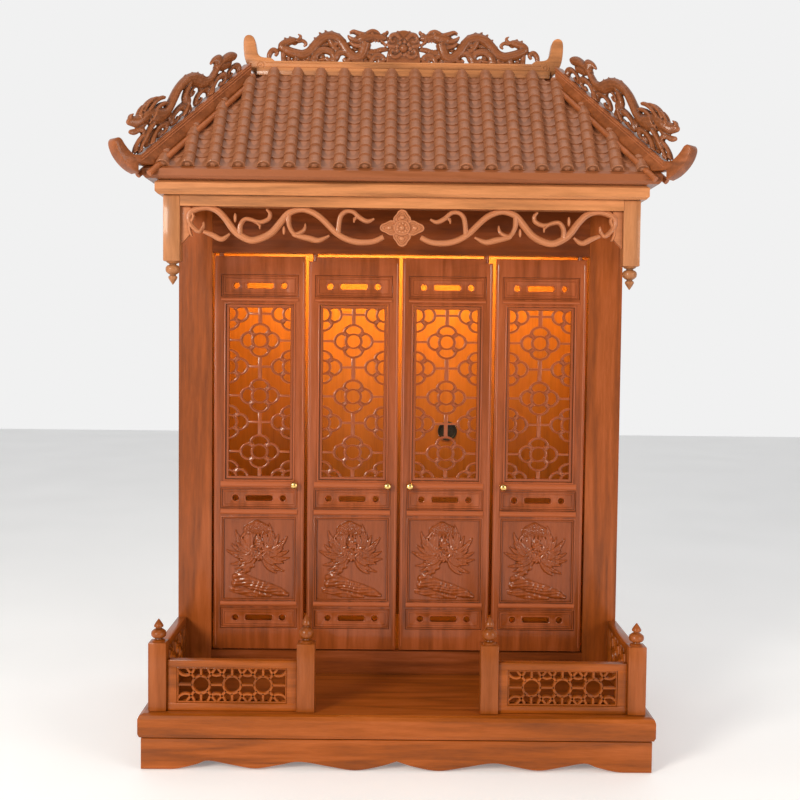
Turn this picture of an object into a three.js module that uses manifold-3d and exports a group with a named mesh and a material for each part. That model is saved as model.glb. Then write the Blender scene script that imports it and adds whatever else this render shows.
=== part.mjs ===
// Household altar cabinet: a varnished wooden shrine under a tiled roof with hips,
// on a platform with a balustrade, closed by four pivoted lattice doors.
// Millimetres, +Z up, front towards -Y, origin under the middle of the base.
import * as THREE from "three";
import { mergeVertices } from "three/addons/utils/BufferGeometryUtils.js";
import Module from "manifold-3d";

const wasm = await Module();
wasm.setup();

// Clearances
const seatGap = 0.3; // between pieces that only rest on or against each other
const pinClearance = 0.6; // round a door pin in its hole
const swingClearance = 0.7; // between a turning door corner and the jamb
const meetingGap = 2.1; // extra gap between two neighbouring doors

// Base platform
const baseWidth = 745;
const baseDepth = 480;
const apronHeight = 45;
const apronSetback = 4;
const apronThickness = 20;
const scallopHeight = 13;
const baseBoardThickness = 36;
const baseBoardRound = 7;
const cuspHeight = 14; // of the front apron in its middle

// Balustrade
const postWidth = 26;
const postHeight = 100;
const postSetback = 13; // from the front edge of the base board
const cornerPostInset = 12.5; // from the side edge of the base board
const gateWidth = 240; // clear way between the two gate posts
const cornerFinialHeight = 33;
const gateFinialHeight = 41;
const ballRadius = 11;
const frontPanelHeight = 74;
const sidePanelHeight = 91;
const panelThickness = 14;
const panelRail = 11;
const panelStile = 14;
const ringRadius = 12.7;
const ringPitch = 45;
const fretBar = 3.6;

// Cabinet
const cabinetWidth = 706;
const cabinetDepth = 270;
const cabinetHeight = 752;
const sideThickness = 18;
const backThickness = 12;
const floorThickness = 16;
const frontThickness = 22;
const stileWidth = 53;
const thresholdHeight = 37;
const headerHeight = 76;
const cableHoleRadius = 18;
const cableHoleX = 90;
const cableHoleHeight = 376; // above the platform
const lampLength = 320;
const lampWidth = 16;
const lampThickness = 10;
const lampSetback = 60; // from the back of the cabinet

// Doors
const leafThickness = 16;
const leafInset = 2.5; // behind the front of the jambs
const leafBottomGap = 2;
const leafTopGap = 5;
const pinInset = 10; // from the hinge edge to the pin axis
const pinRadius = 4;
const pinLength = 10; // length of a pin inside its hole
const holeSides = 8; // faces of the hole round a pin
const notchWidth = 12;
const notchHeight = 7;
const latticeWidth = 107;
const latticeThickness = 7;
const latticeSetback = 3; // of the lattice behind the front of the leaf
const latticeRim = 4;
const lobeShare = 1.05; // reach of a flower's lobes against its own size
const slotPanelInset = 10.5;
const slotPanelDepth = 3;
const slotLength = 43;
const slotHeight = 9;
const slotDepth = 5;
const reliefInset = 13;
const reliefSetback = 4;
const reliefBoard = 7;
const reliefHeight = 3.4;
const reliefShare = 0.92; // of the panel that the carving fills
const knobRadius = 6;
const knobReach = 13;
const knobInset = 15; // from the free edge of a leaf
const knobShare = 0.4225; // height as a share of the leaf
const flowerWidth = 63;
const flowerHeight = 54.5;
const latticeBar = 3.6;
const latticePost = 7;

// Eave beams, hanging posts and the scroll frieze
const hangingPostWidth = 25;
const hangingPostReach = 112; // from the cabinet front to the front of the hanging post
const hangingPostOverhang = 3; // of the post outside the cabinet's side
const hangingPostDrop = 98;
const hangingFinialHeight = 35;
const eaveBeamHeight = 16;
const friezeDrop = 55; // height of the frieze below the beam
const friezeThickness = 12;
const friezeSetback = 7;
const bracketWidth = 14.5;
const vineWidth = 6.4;
const rosetteRadius = 30;
const rosettePetals = 8;
const rosetteLift = 3; // of each layer of the rosette in front of the one behind

// Cornice and roof
const edgeRound = 4; // of the cornice and eave boards
const corniceOverhang = 13;
const corniceThickness = 21;
const corniceFront = 12; // beyond the hanging posts
const eaveThickness = 18;
const eaveReach = 15; // of the eave board beyond the cornice
const roofSetback = 9; // of the roof surface behind the edge of the eave board
const roofRise = 169;
const roofRun = 138;
const roofThickness = 12;
const tilePitch = 37.1;
const tileRadius = 9.5;
const tileHeight = 7.5;
const tileOverhang = 6;
const ridgeHeight = 20;
const ridgeThickness = 20;
const ridgeHornHeight = 40;
const ridgeHornReach = 15;
const hipWidth = 22;
const hipStart = 16; // from the end of the ridge to the upper end of the hip beam
const hipSink = 10; // of the hip beam below the roof surface
const hipRise = 25; // of the hip beam's top above the deck at the end of the ridge
const hipFallShare = 0.97; // fall of the beam's top against that of the roof
const hipHornReach = 38; // beyond the corner of the eave board
const hipHornHeight = 33; // above the eave board
const dragonStart = 24; // from the end of the ridge to the dragon on the hip
const dragonLength = 195;
const dragonHeight = 66;
const dragonBevel = 2;
const dragonThickness = 14;
const carvingHeight = 52;
const carvingSetback = 3;

// Places that follow from the sizes above
const frontY = -baseDepth / 2;
const backY = baseDepth / 2;
const halfBase = baseWidth / 2;
const platformZ = apronHeight + baseBoardThickness;
const halfCabinet = cabinetWidth / 2;
const cabinetY = backY - cabinetDepth;
const jambBackY = cabinetY + frontThickness;
const cabinetTopZ = platformZ + cabinetHeight;
const halfOpening = halfCabinet - stileWidth;
const thresholdZ = platformZ + thresholdHeight;
const headerZ = cabinetTopZ - headerHeight;
const innerX = halfCabinet - sideThickness;
const postCentreY = frontY + postSetback + postWidth / 2;
const cornerPostX = halfBase - cornerPostInset - postWidth / 2;
const gatePostX = gateWidth / 2 + postWidth / 2;

const cornerRadius = Math.hypot(pinInset, leafThickness / 2);
const jambGap = cornerRadius - pinInset + swingClearance;
const leafGap = jambGap + meetingGap;
const leafWidth = (2 * halfOpening - 2 * jambGap - 3 * leafGap) / 4;
const leafBottomZ = thresholdZ + leafBottomGap;
const leafTopZ = headerZ - leafTopGap;
const leafHeight = leafTopZ - leafBottomZ;
const leafFrontY = cabinetY + leafInset;
const pinY = leafFrontY + leafThickness / 2;

const hangingOuterX = halfCabinet + hangingPostOverhang;
const hangingPostX = hangingOuterX - hangingPostWidth / 2;
const hangingFrontY = cabinetY - hangingPostReach;
const hangingPostY = hangingFrontY + hangingPostWidth / 2;
const beamBottomZ = cabinetTopZ - eaveBeamHeight;
const corniceHalf = halfCabinet + corniceOverhang;
const corniceY = hangingFrontY - corniceFront;
const corniceTopZ = cabinetTopZ + corniceThickness;
const eaveHalf = corniceHalf + eaveReach;
const eaveY = corniceY - eaveReach;
const eaveTopZ = corniceTopZ + eaveThickness;
const deckZ = eaveTopZ + roofRise;
const slopeHalf = eaveHalf - roofSetback;
const slopeY = eaveY + roofSetback;
const ridgeHalf = slopeHalf - roofRun;
const ridgeY = slopeY + roofRun;
const ridgeTopZ = deckZ + ridgeHeight;
const roofBackY = backY - backThickness;

// Finishes
function finish(colour, roughness, metalness = 0) {
  return new THREE.MeshStandardMaterial({ color: colour, roughness, metalness });
}

const baseWood = () => finish(0xb4662e, 0.42);
const doorWood = () => finish(0xb0622f, 0.4);
const sideWood = () => finish(0x9c5428, 0.45);
const insideWood = () => finish(0x8a4a22, 0.55);
const corniceWood = () => finish(0xc07a48, 0.42);
const tileWood = () => finish(0xa9704f, 0.5);
const carvedWood = () => finish(0xa8643a, 0.45);
const brass = () => finish(0xd8b25a, 0.25, 1);
const lampPlastic = () => finish(0xf4ead2, 0.5);

const cabinet = new THREE.Group();

function addPiece(name, geometry, material) {
  const mesh = new THREE.Mesh(geometry, material);
  mesh.name = name;
  cabinet.add(mesh);
}

// Joins and cuts
function solidOf(geometry) {
  const bare = geometry.clone();
  bare.deleteAttribute("normal");
  bare.deleteAttribute("uv");
  const merged = mergeVertices(bare, 1e-4);
  return new wasm.Manifold(
    new wasm.Mesh({
      numProp: 3,
      vertProperties: merged.getAttribute("position").array,
      triVerts: new Uint32Array(merged.index.array),
    }),
  );
}

function geometryOf(solid) {
  const mesh = solid.getMesh();
  const geometry = new THREE.BufferGeometry();
  geometry.setAttribute("position", new THREE.BufferAttribute(mesh.vertProperties, 3));
  geometry.setIndex(new THREE.BufferAttribute(mesh.triVerts, 1));
  geometry.computeVertexNormals();
  return geometry;
}

function join(pieces) {
  return geometryOf(pieces.map(solidOf).reduce((whole, piece) => whole.add(piece)));
}

function cut(body, tools) {
  return geometryOf(tools.map(solidOf).reduce((left, tool) => left.subtract(tool), solidOf(body)));
}

function clip(body, region) {
  return geometryOf(solidOf(body).intersect(solidOf(region)));
}

// Shapes
function boxBetween([x0, y0, z0], [x1, y1, z1]) {
  const box = new THREE.BoxGeometry(x1 - x0, y1 - y0, z1 - z0);
  return box.translate((x0 + x1) / 2, (y0 + y1) / 2, (z0 + z1) / 2);
}

function outline(points) {
  return new THREE.Shape(points.map(([x, y]) => new THREE.Vector2(x, y)));
}

function extrude(shape, depth, bevel, rounds = 1) {
  const options = { depth: depth - 2 * bevel, steps: 1, curveSegments: 3, bevelEnabled: bevel > 0 };
  Object.assign(options, { bevelThickness: bevel, bevelSize: bevel, bevelOffset: -bevel });
  options.bevelSegments = rounds;
  return new THREE.ExtrudeGeometry(shape, options).translate(0, 0, bevel);
}

// A shape drawn in x and z, with its front face at y.
function upright(shape, y, depth, bevel = 0) {
  return extrude(shape, depth, bevel).rotateX(Math.PI / 2).translate(0, y + depth, 0);
}

// A shape drawn in y and z, from x towards +X.
function sideways(shape, x, depth) {
  const turn = new THREE.Matrix4().makeBasis(
    new THREE.Vector3(0, 1, 0),
    new THREE.Vector3(0, 0, 1),
    new THREE.Vector3(1, 0, 0),
  );
  return extrude(shape, depth, 0).applyMatrix4(turn).translate(x, 0, 0);
}

function slab(halfX, y0, y1, z0, z1, bevel, rounds = 1) {
  const plan = outline([[-halfX, y0], [halfX, y0], [halfX, y1], [-halfX, y1]]);
  return extrude(plan, z1 - z0, bevel, rounds).translate(0, 0, z0);
}

function turned(profile, sides) {
  const points = profile.map(([r, z]) => new THREE.Vector2(r, z));
  return new THREE.LatheGeometry(points, sides).rotateX(Math.PI / 2);
}

function roundBar(radius, z0, z1, sides = 8) {
  const bar = new THREE.CylinderGeometry(radius, radius, z1 - z0, sides).rotateX(Math.PI / 2);
  return bar.translate(0, 0, (z0 + z1) / 2);
}

function regular(sides, radiusX, radiusY, turn = 0) {
  return Array.from({ length: sides }, (unused, i) => {
    const angle = turn + (2 * Math.PI * i) / sides;
    return [radiusX * Math.cos(angle), radiusY * Math.sin(angle)];
  });
}

// A strip of changing width along a smooth curve through the points [x, z, width].
function ribbon(points, samples) {
  const curve = new THREE.SplineCurve(points.map(([x, z]) => new THREE.Vector2(x, z)));
  const near = [];
  const far = [];
  for (let i = 0; i <= samples; i += 1) {
    const t = i / samples;
    const at = curve.getPoint(t);
    const along = curve.getTangent(t);
    const step = t * (points.length - 1);
    const low = Math.min(Math.floor(step), points.length - 2);
    const width = points[low][2] + (points[low + 1][2] - points[low][2]) * (step - low);
    near.push([at.x - (along.y * width) / 2, at.y + (along.x * width) / 2]);
    far.unshift([at.x + (along.y * width) / 2, at.y - (along.x * width) / 2]);
  }
  return outline([...near, ...far]);
}

// Base board and aprons
const apronHalf = halfBase - apronSetback;
const apronTopZ = apronHeight - seatGap;

// Lower edge of the front apron from the foot to the middle: [share of the half width, share of the scallop]
const frontWave = [
  [0.83, 0],
  [0.785, 0.55],
  [0.735, 1],
  [0.64, 0.5],
  [0.553, 0.14],
  [0.46, 0.55],
  [0.377, 0.92],
  [0.26, 0.4],
  [0.163, 0],
  [0.07, 0.35],
];
const sideWave = [[0.8, 0], [0.7, 0.6], [0.62, 1]];

function wavyBoard(half, wave, middle) {
  const left = wave.map(([x, z]) => [-x * half, z * scallopHeight]);
  const right = wave.map(([x, z]) => [x * half, z * scallopHeight]).reverse();
  const lower = [[-half, 0], ...left, ...middle, ...right, [half, 0]];
  return outline([[-half, apronTopZ], ...lower, [half, apronTopZ]]);
}

const apronInnerY = apronSetback + apronThickness + seatGap;
addPiece(
  "apron_front",
  upright(wavyBoard(apronHalf, frontWave, [[0, cuspHeight]]), frontY + apronSetback, apronThickness),
  baseWood(),
);
addPiece(
  "apron_back",
  boxBetween(
    [-apronHalf, backY - apronSetback - apronThickness, 0],
    [apronHalf, backY - apronSetback, apronTopZ],
  ),
  baseWood(),
);
const sideApron = wavyBoard(baseDepth / 2 - apronInnerY, sideWave, []);
addPiece("apron_left", sideways(sideApron, -apronHalf, apronThickness), baseWood());
addPiece("apron_right", sideways(sideApron, apronHalf - apronThickness, apronThickness), baseWood());
addPiece(
  "base_board",
  slab(halfBase, frontY, backY, apronHeight, platformZ - seatGap, baseBoardRound, 2),
  baseWood(),
);

// Posts and their finials: [radius share, height share] above the post
const finialShares = [[0.78, 0], [0.5, 0.09], [1, 0.28], [0.9, 0.48], [0.4, 0.6], [0.62, 0.72], [0.2, 0.92]];

function finial(height, sides = 8) {
  const profile = finialShares.map(([r, z]) => [r * ballRadius, z * height]);
  return turned([[0, -1], [profile[0][0], -1], ...profile, [0, height]], sides);
}

function balusterPost(x, finialHeight) {
  const half = postWidth / 2;
  const shaft = boxBetween(
    [x - half, postCentreY - half, platformZ],
    [x + half, postCentreY + half, platformZ + postHeight],
  );
  return join([shaft, finial(finialHeight).translate(x, postCentreY, platformZ + postHeight)]);
}

for (const [side, sign] of [["left", -1], ["right", 1]]) {
  addPiece(`corner_post_${side}`, balusterPost(sign * cornerPostX, cornerFinialHeight), baseWood());
  addPiece(`gate_post_${side}`, balusterPost(sign * gatePostX, gateFinialHeight), baseWood());
}

// Fretted panel about its middle: rings along the middle row, joined by bars to each other and to the rails
function frettedPanel(width, height) {
  const y = -panelThickness / 2;
  const holes = [];
  const halfField = width / 2 - panelStile;
  const halfRise = height / 2 - panelRail;
  const middle = height / 2;
  const rings = Math.max(1, Math.floor((2 * halfField) / ringPitch));
  const hole = ringRadius - fretBar / 2;
  const inner = fretBar / 2;
  const addHole = (points) => holes.push(upright(outline(points), y - 1, panelThickness + 2));
  for (let i = 0; i < rings; i += 1) {
    const x = (i - (rings - 1) / 2) * ringPitch;
    addHole(regular(6, hole, hole).map(([dx, dz]) => [x + dx, middle + dz]));
    for (const across of [-1, 1]) {
      const last = across < 0 ? i === 0 : i === rings - 1;
      const reach = across * (last ? halfField - Math.abs(x) : ringPitch / 2 - inner);
      for (const up of [-1, 1]) {
        addHole([
          [x + across * (ringRadius + inner), middle + up * inner],
          [x + reach, middle + up * inner],
          [x + reach, middle + up * (halfRise - ringRadius)],
          [x + across * inner, middle + up * halfRise],
        ]);
      }
    }
  }
  return cut(boxBetween([-width / 2, y, 0], [width / 2, -y, height]), holes);
}

const frontPanelLeftX = gatePostX + postWidth / 2 + seatGap;
const frontPanelRightX = cornerPostX - postWidth / 2 - seatGap;
const frontPanelWidth = frontPanelRightX - frontPanelLeftX;
const frontPanelX = (frontPanelLeftX + frontPanelRightX) / 2;
const sidePanelFrontY = postCentreY + postWidth / 2 + seatGap;
const sidePanelBackY = cabinetY - seatGap;
const sidePanelY = (sidePanelFrontY + sidePanelBackY) / 2;

for (const [side, sign] of [["left", -1], ["right", 1]]) {
  const front = frettedPanel(frontPanelWidth, frontPanelHeight);
  addPiece(`front_panel_${side}`, front.translate(sign * frontPanelX, postCentreY, platformZ), baseWood());
  const flank = frettedPanel(sidePanelBackY - sidePanelFrontY, sidePanelHeight).rotateZ(Math.PI / 2);
  addPiece(`side_panel_${side}`, flank.translate(sign * cornerPostX, sidePanelY, platformZ), baseWood());
}

// Cabinet carcass
const wallTopZ = cabinetTopZ - seatGap;
for (const [side, sign] of [["left", -1], ["right", 1]]) {
  const wall = sign < 0 ? [-halfCabinet, -innerX] : [innerX, halfCabinet];
  addPiece(
    `side_board_${side}`,
    boxBetween([wall[0], jambBackY + seatGap, platformZ], [wall[1], backY, wallTopZ]),
    sideWood(),
  );
  const stile = sign < 0 ? [-halfCabinet, -halfOpening] : [halfOpening, halfCabinet];
  addPiece(
    `front_stile_${side}`,
    boxBetween([stile[0], cabinetY, platformZ], [stile[1], jambBackY, wallTopZ]),
    sideWood(),
  );
}

const backBoard = boxBetween(
  [-innerX + seatGap, backY - backThickness, platformZ],
  [innerX - seatGap, backY, wallTopZ],
);
const cableHole = new THREE.CylinderGeometry(cableHoleRadius, cableHoleRadius, 3 * backThickness, 12);
cableHole.translate(cableHoleX, backY, platformZ + cableHoleHeight);
addPiece("back_board", cut(backBoard, [cableHole]), insideWood());

addPiece(
  "floor_board",
  boxBetween(
    [-innerX + seatGap, jambBackY + seatGap, thresholdZ - floorThickness],
    [innerX - seatGap, backY - backThickness - seatGap, thresholdZ],
  ),
  insideWood(),
);

// The four leaves: centre, hinge side (-1 left edge, 1 right edge)
const leaves = [
  { number: 1, x: -1.5 * (leafWidth + leafGap), hinge: -1, notched: false },
  { number: 2, x: -0.5 * (leafWidth + leafGap), hinge: -1, notched: true },
  { number: 3, x: 0.5 * (leafWidth + leafGap), hinge: 1, notched: true },
  { number: 4, x: 1.5 * (leafWidth + leafGap), hinge: 1, notched: false },
];
const pinX = (leaf) => leaf.x + leaf.hinge * (leafWidth / 2 - pinInset);

const holeRadius = (pinRadius + pinClearance) / Math.cos(Math.PI / holeSides);
const pinHole = (leaf, z0, z1) => roundBar(holeRadius, z0, z1, holeSides).translate(pinX(leaf), pinY, 0);
const pinHoles = (z0, z1) => leaves.map((leaf) => pinHole(leaf, z0, z1));

addPiece(
  "threshold",
  cut(
    boxBetween(
      [-halfOpening + seatGap, cabinetY, platformZ],
      [halfOpening - seatGap, jambBackY, thresholdZ],
    ),
    pinHoles(thresholdZ - pinLength - pinClearance, thresholdZ + 1),
  ),
  doorWood(),
);
addPiece(
  "header",
  cut(
    boxBetween([-halfOpening + seatGap, cabinetY, headerZ], [halfOpening - seatGap, jambBackY, wallTopZ]),
    pinHoles(headerZ - 1, headerZ + pinLength + pinClearance),
  ),
  doorWood(),
);
addPiece(
  "led_lamp",
  boxBetween(
    [-lampLength / 2, backY - lampSetback - lampWidth, cabinetTopZ - lampThickness - seatGap],
    [lampLength / 2, backY - lampSetback, cabinetTopZ - seatGap],
  ),
  lampPlastic(),
);

// Door leaf rows as shares of the leaf height above its lower edge
const rows = {
  topSlots: [0.8996, 0.9541],
  lattice: [0.4366, 0.8788],
  middleSlots: [0.3616, 0.4123],
  relief: [0.125, 0.3377],
  bottomSlots: [0.0538, 0.1044],
};
const rowZ = (share) => leafBottomZ + share * leafHeight;

function leafFrame(leaf) {
  const left = leaf.x - leafWidth / 2;
  const right = leaf.x + leafWidth / 2;
  const backOfLeaf = leafFrontY + leafThickness;
  const board = boxBetween([left, leafFrontY, leafBottomZ], [right, backOfLeaf, leafTopZ]);
  const through = (half, [low, high]) =>
    boxBetween(
      [leaf.x - half, leafFrontY - 1, rowZ(low)],
      [leaf.x + half, backOfLeaf + 1, rowZ(high)],
    );
  const tools = [through(latticeWidth / 2, rows.lattice), through(leafWidth / 2 - reliefInset, rows.relief)];
  for (const [low, high] of [rows.topSlots, rows.middleSlots, rows.bottomSlots]) {
    const middle = (rowZ(low) + rowZ(high)) / 2;
    const halfPanel = leafWidth / 2 - slotPanelInset;
    tools.push(
      boxBetween(
        [leaf.x - halfPanel, leafFrontY - 1, rowZ(low)],
        [leaf.x + halfPanel, leafFrontY + slotPanelDepth, rowZ(high)],
      ),
      boxBetween(
        [leaf.x - slotLength / 2, leafFrontY, middle - slotHeight / 2],
        [leaf.x + slotLength / 2, leafFrontY + slotPanelDepth + slotDepth, middle + slotHeight / 2],
      ),
    );
  }
  const rootZ = leafTopZ - (leaf.notched ? notchHeight : 0);
  if (leaf.notched) {
    const edge = leaf.x + (leaf.hinge * leafWidth) / 2;
    const inner = edge - leaf.hinge * notchWidth;
    const outer = edge + leaf.hinge;
    tools.push(
      boxBetween(
        [Math.min(inner, outer), leafFrontY - 1, rootZ],
        [Math.max(inner, outer), backOfLeaf + 1, leafTopZ + 1],
      ),
    );
  }
  const pin = (z0, z1) => roundBar(pinRadius, z0, z1).translate(pinX(leaf), pinY, 0);
  const topPin = pin(rootZ - 1, headerZ + pinLength);
  const bottomPin = pin(thresholdZ - pinLength, leafBottomZ + 1);
  return join([cut(board, tools), topPin, bottomPin]);
}

// Lattice flower drawn round its middle, with four lobes, four petal openings and an eye
const lobeTurns = [-Math.PI / 9, Math.PI / 9];
const quarterTurns = [0, 1, 2, 3].map((quarter) => (quarter * Math.PI) / 2);

function flower(x, z) {
  const reach = lobeShare / 2;
  const points = quarterTurns.flatMap((quarter) =>
    lobeTurns.map((turn) => [
      x + reach * flowerWidth * Math.cos(quarter + turn),
      z + reach * flowerHeight * Math.sin(quarter + turn),
    ]),
  );
  return outline(points);
}

// The openings of a flower: all of them, or only the petal on the given side for a half flower at the rim.
function flowerHoles(x, z, quarters) {
  const halfX = flowerWidth / 2;
  const halfZ = flowerHeight / 2;
  const eye = regular(6, 0.29 * halfX, 0.33 * halfZ, Math.PI / 6).map(([dx, dz]) => [x + dx, z + dz]);
  const petal = [[0.5, -0.3], [0.86, -0.24], [0.86, 0.24], [0.5, 0.3]];
  const petals = quarters.map((quarter) =>
    petal.map(([r, t]) => {
      const angle = (quarter * Math.PI) / 2;
      const dx = r * Math.cos(angle) - t * Math.sin(angle);
      const dz = r * Math.sin(angle) + t * Math.cos(angle);
      return [x + dx * halfX, z + dz * halfZ];
    }),
  );
  return quarters.length > 1 ? [eye, ...petals] : petals;
}

const fullFlowers = [0.7888, 0.6485, 0.506];
const halfFlowers = [0.856, 0.7225, 0.5813, 0.4407];

function leafLattice(leaf) {
  const y = leafFrontY + latticeSetback;
  const half = latticeWidth / 2 - seatGap;
  const low = rowZ(rows.lattice[0]) + seatGap;
  const high = rowZ(rows.lattice[1]) - seatGap;
  const inside = half - latticeRim;
  const field = boxBetween([leaf.x - half, y, low], [leaf.x + half, y + latticeThickness, high]);
  const opening = boxBetween(
    [leaf.x - inside, y - 1, low + latticeRim],
    [leaf.x + inside, y + latticeThickness + 1, high - latticeRim],
  );
  const flowers = [];
  const holes = [];
  const addFlower = (x, share, quarters) => {
    flowers.push(upright(flower(x, rowZ(share)), y, latticeThickness));
    const around = flowerHoles(x, rowZ(share), quarters).map((points) => outline(points));
    holes.push(...around.map((hole) => upright(hole, y - 1, latticeThickness + 2)));
  };
  fullFlowers.forEach((share) => addFlower(leaf.x, share, [0, 1, 2, 3]));
  halfFlowers.forEach((share) => {
    addFlower(leaf.x - inside, share, [0]);
    addFlower(leaf.x + inside, share, [2]);
  });
  const bar = (halfWidth, z0, z1) =>
    boxBetween([leaf.x - halfWidth, y, z0], [leaf.x + halfWidth, y + latticeThickness, z1]);
  const bars = [bar(latticePost / 2, low, high)];
  for (const share of [...fullFlowers, ...halfFlowers.slice(0, 3)]) {
    bars.push(bar(half, rowZ(share) - latticeBar / 2, rowZ(share) + latticeBar / 2));
  }
  // The petal openings are cut after the bars and flowers are joined, so that no bar crosses them.
  const pattern = clip(cut(join([...bars, ...flowers]), holes), opening);
  return join([cut(field, [opening]), pattern]);
}

// Relief of a flowering bush on a rock, drawn in shares of the panel's half width and height
const dome = [[-0.4, 0.72], [-0.24, 0.95], [0.06, 1], [0.3, 0.92], [0.34, 0.76], [0.1, 0.68], [-0.2, 0.66]];
const rock = [
  [-0.62, -0.72], [-0.42, -0.4], [-0.1, -0.52], [0.4, -0.72], [0.9, -0.86], [0.3, -0.98], [-0.3, -0.94],
];
const whorls = [
  { at: [-0.3, 0.18], reach: 0.62, turns: [155, 195, 240] },
  { at: [0.34, 0.2], reach: 0.6, turns: [30, -8, -50] },
];
const heart = { radius: 0.38, at: [0, 0.28] };
const stem = [[-0.2, 0.1, 0.1], [-0.3, -0.2, 0.08], [-0.46, -0.5, 0.12]];

function petalShape(at, reach, degrees) {
  const angle = (degrees * Math.PI) / 180;
  const along = [Math.cos(angle), Math.sin(angle)];
  const place = (r, t) => [at[0] + along[0] * r - along[1] * t, at[1] + along[1] * r + along[0] * t];
  return [place(0.05, 0), place(0.6 * reach, -0.09), place(reach, 0), place(0.6 * reach, 0.09)];
}

function leafRelief(leaf) {
  const half = leafWidth / 2 - reliefInset - seatGap;
  const low = rowZ(rows.relief[0]) + seatGap;
  const high = rowZ(rows.relief[1]) - seatGap;
  const halfHeight = (high - low) / 2;
  const boardY = leafFrontY + reliefSetback;
  const carve = (points, height) => {
    const placed = points.map(([x, z]) => [
      leaf.x + reliefShare * x * half,
      low + (1 + reliefShare * z) * halfHeight,
    ]);
    return upright(outline(placed), boardY - height, height + 0.5);
  };
  const board = boxBetween([leaf.x - half, boardY, low], [leaf.x + half, boardY + reliefBoard, high]);
  const bush = whorls.flatMap(({ at, reach, turns }) =>
    turns.map((degrees, i) => carve(petalShape(at, reach, degrees), reliefHeight - 0.3 - 0.25 * (i % 2))),
  );
  const blossom = regular(7, heart.radius, heart.radius).map(([x, z]) => [x + heart.at[0], z + heart.at[1]]);
  const stalk = ribbon(stem, 3).getPoints(1).map((point) => [point.x, point.y]);
  return join([
    board,
    carve(dome, reliefHeight),
    carve(rock, reliefHeight),
    carve(blossom, reliefHeight + 0.3),
    carve(stalk, reliefHeight - 1.1),
    ...bush,
  ]);
}

const knobProfile = [[0.75, 0], [0.5, 0.15], [0.45, 0.4], [0.95, 0.55], [1, 0.75], [0.6, 0.97]];

function leafKnob(leaf) {
  const profile = knobProfile.map(([r, t]) => [r * knobRadius, t * knobReach]);
  const body = join([turned([[0, 0], ...profile, [0, knobReach]], 6)]).rotateX(Math.PI / 2);
  const x = leaf.x - leaf.hinge * (leafWidth / 2 - knobInset);
  return body.translate(x, leafFrontY - seatGap, rowZ(knobShare));
}

for (const leaf of leaves) {
  addPiece(`leaf_${leaf.number}_frame`, leafFrame(leaf), doorWood());
  addPiece(`leaf_${leaf.number}_lattice`, leafLattice(leaf), doorWood());
  addPiece(`leaf_${leaf.number}_relief`, leafRelief(leaf), doorWood());
  addPiece(`leaf_${leaf.number}_knob`, leafKnob(leaf), brass());
}

// Hanging posts and eave beams
for (const [side, sign] of [["left", -1], ["right", 1]]) {
  const x = sign * hangingPostX;
  const half = hangingPostWidth / 2;
  const bottom = cabinetTopZ - hangingPostDrop;
  const shaft = boxBetween(
    [x - half, hangingPostY - half, bottom],
    [x + half, hangingPostY + half, wallTopZ],
  );
  const drop = finial(hangingFinialHeight).rotateX(Math.PI).translate(x, hangingPostY, bottom);
  addPiece(`hanging_post_${side}`, join([shaft, drop]), corniceWood());
  addPiece(
    `eave_beam_${side}`,
    boxBetween(
      [x - half, hangingPostY + half + seatGap, beamBottomZ],
      [x + half, cabinetY - seatGap, wallTopZ],
    ),
    corniceWood(),
  );
}
const beamHalf = hangingPostX - hangingPostWidth / 2 - seatGap;
addPiece(
  "eave_beam_front",
  boxBetween([-beamHalf, hangingFrontY, beamBottomZ], [beamHalf, hangingFrontY + hangingPostWidth, wallTopZ]),
  corniceWood(),
);

// Scroll frieze: vines drawn in shares of the half width from the middle and of the drop below the beam
const vine = [
  [0.9, 0.5], [0.925, 0.7], [0.96, 0.45], [0.95, 0.16], [0.89, 0.06], [0.81, 0.26], [0.74, 0.78],
  [0.685, 0.9], [0.6, 0.72], [0.52, 0.2], [0.455, 0.06], [0.37, 0.28], [0.29, 0.75], [0.2, 0.93], [0.04, 0.7],
];
const tendrils = [
  [[0.745, 0.77], [0.73, 0.45], [0.69, 0.3], [0.64, 0.4], [0.6, 0.25], [0.61, 0.08]],
  [[0.525, 0.17], [0.51, 0.5], [0.48, 0.7], [0.44, 0.55]],
  [[0.295, 0.74], [0.275, 0.3], [0.245, 0.1], [0.2, 0.15], [0.17, 0.32], [0.12, 0.3]],
  [[0.925, 0.7], [0.84, 0.92], [0.73, 0.8]],
];
const friezeTopZ = beamBottomZ - seatGap;
const friezeY = hangingFrontY + friezeSetback;

function friezeStrip(points, sign, width, samples) {
  const placed = points.map(([x, z]) => [sign * x * beamHalf, friezeTopZ - z * friezeDrop, width]);
  return upright(ribbon(placed, samples), friezeY, friezeThickness);
}

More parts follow.
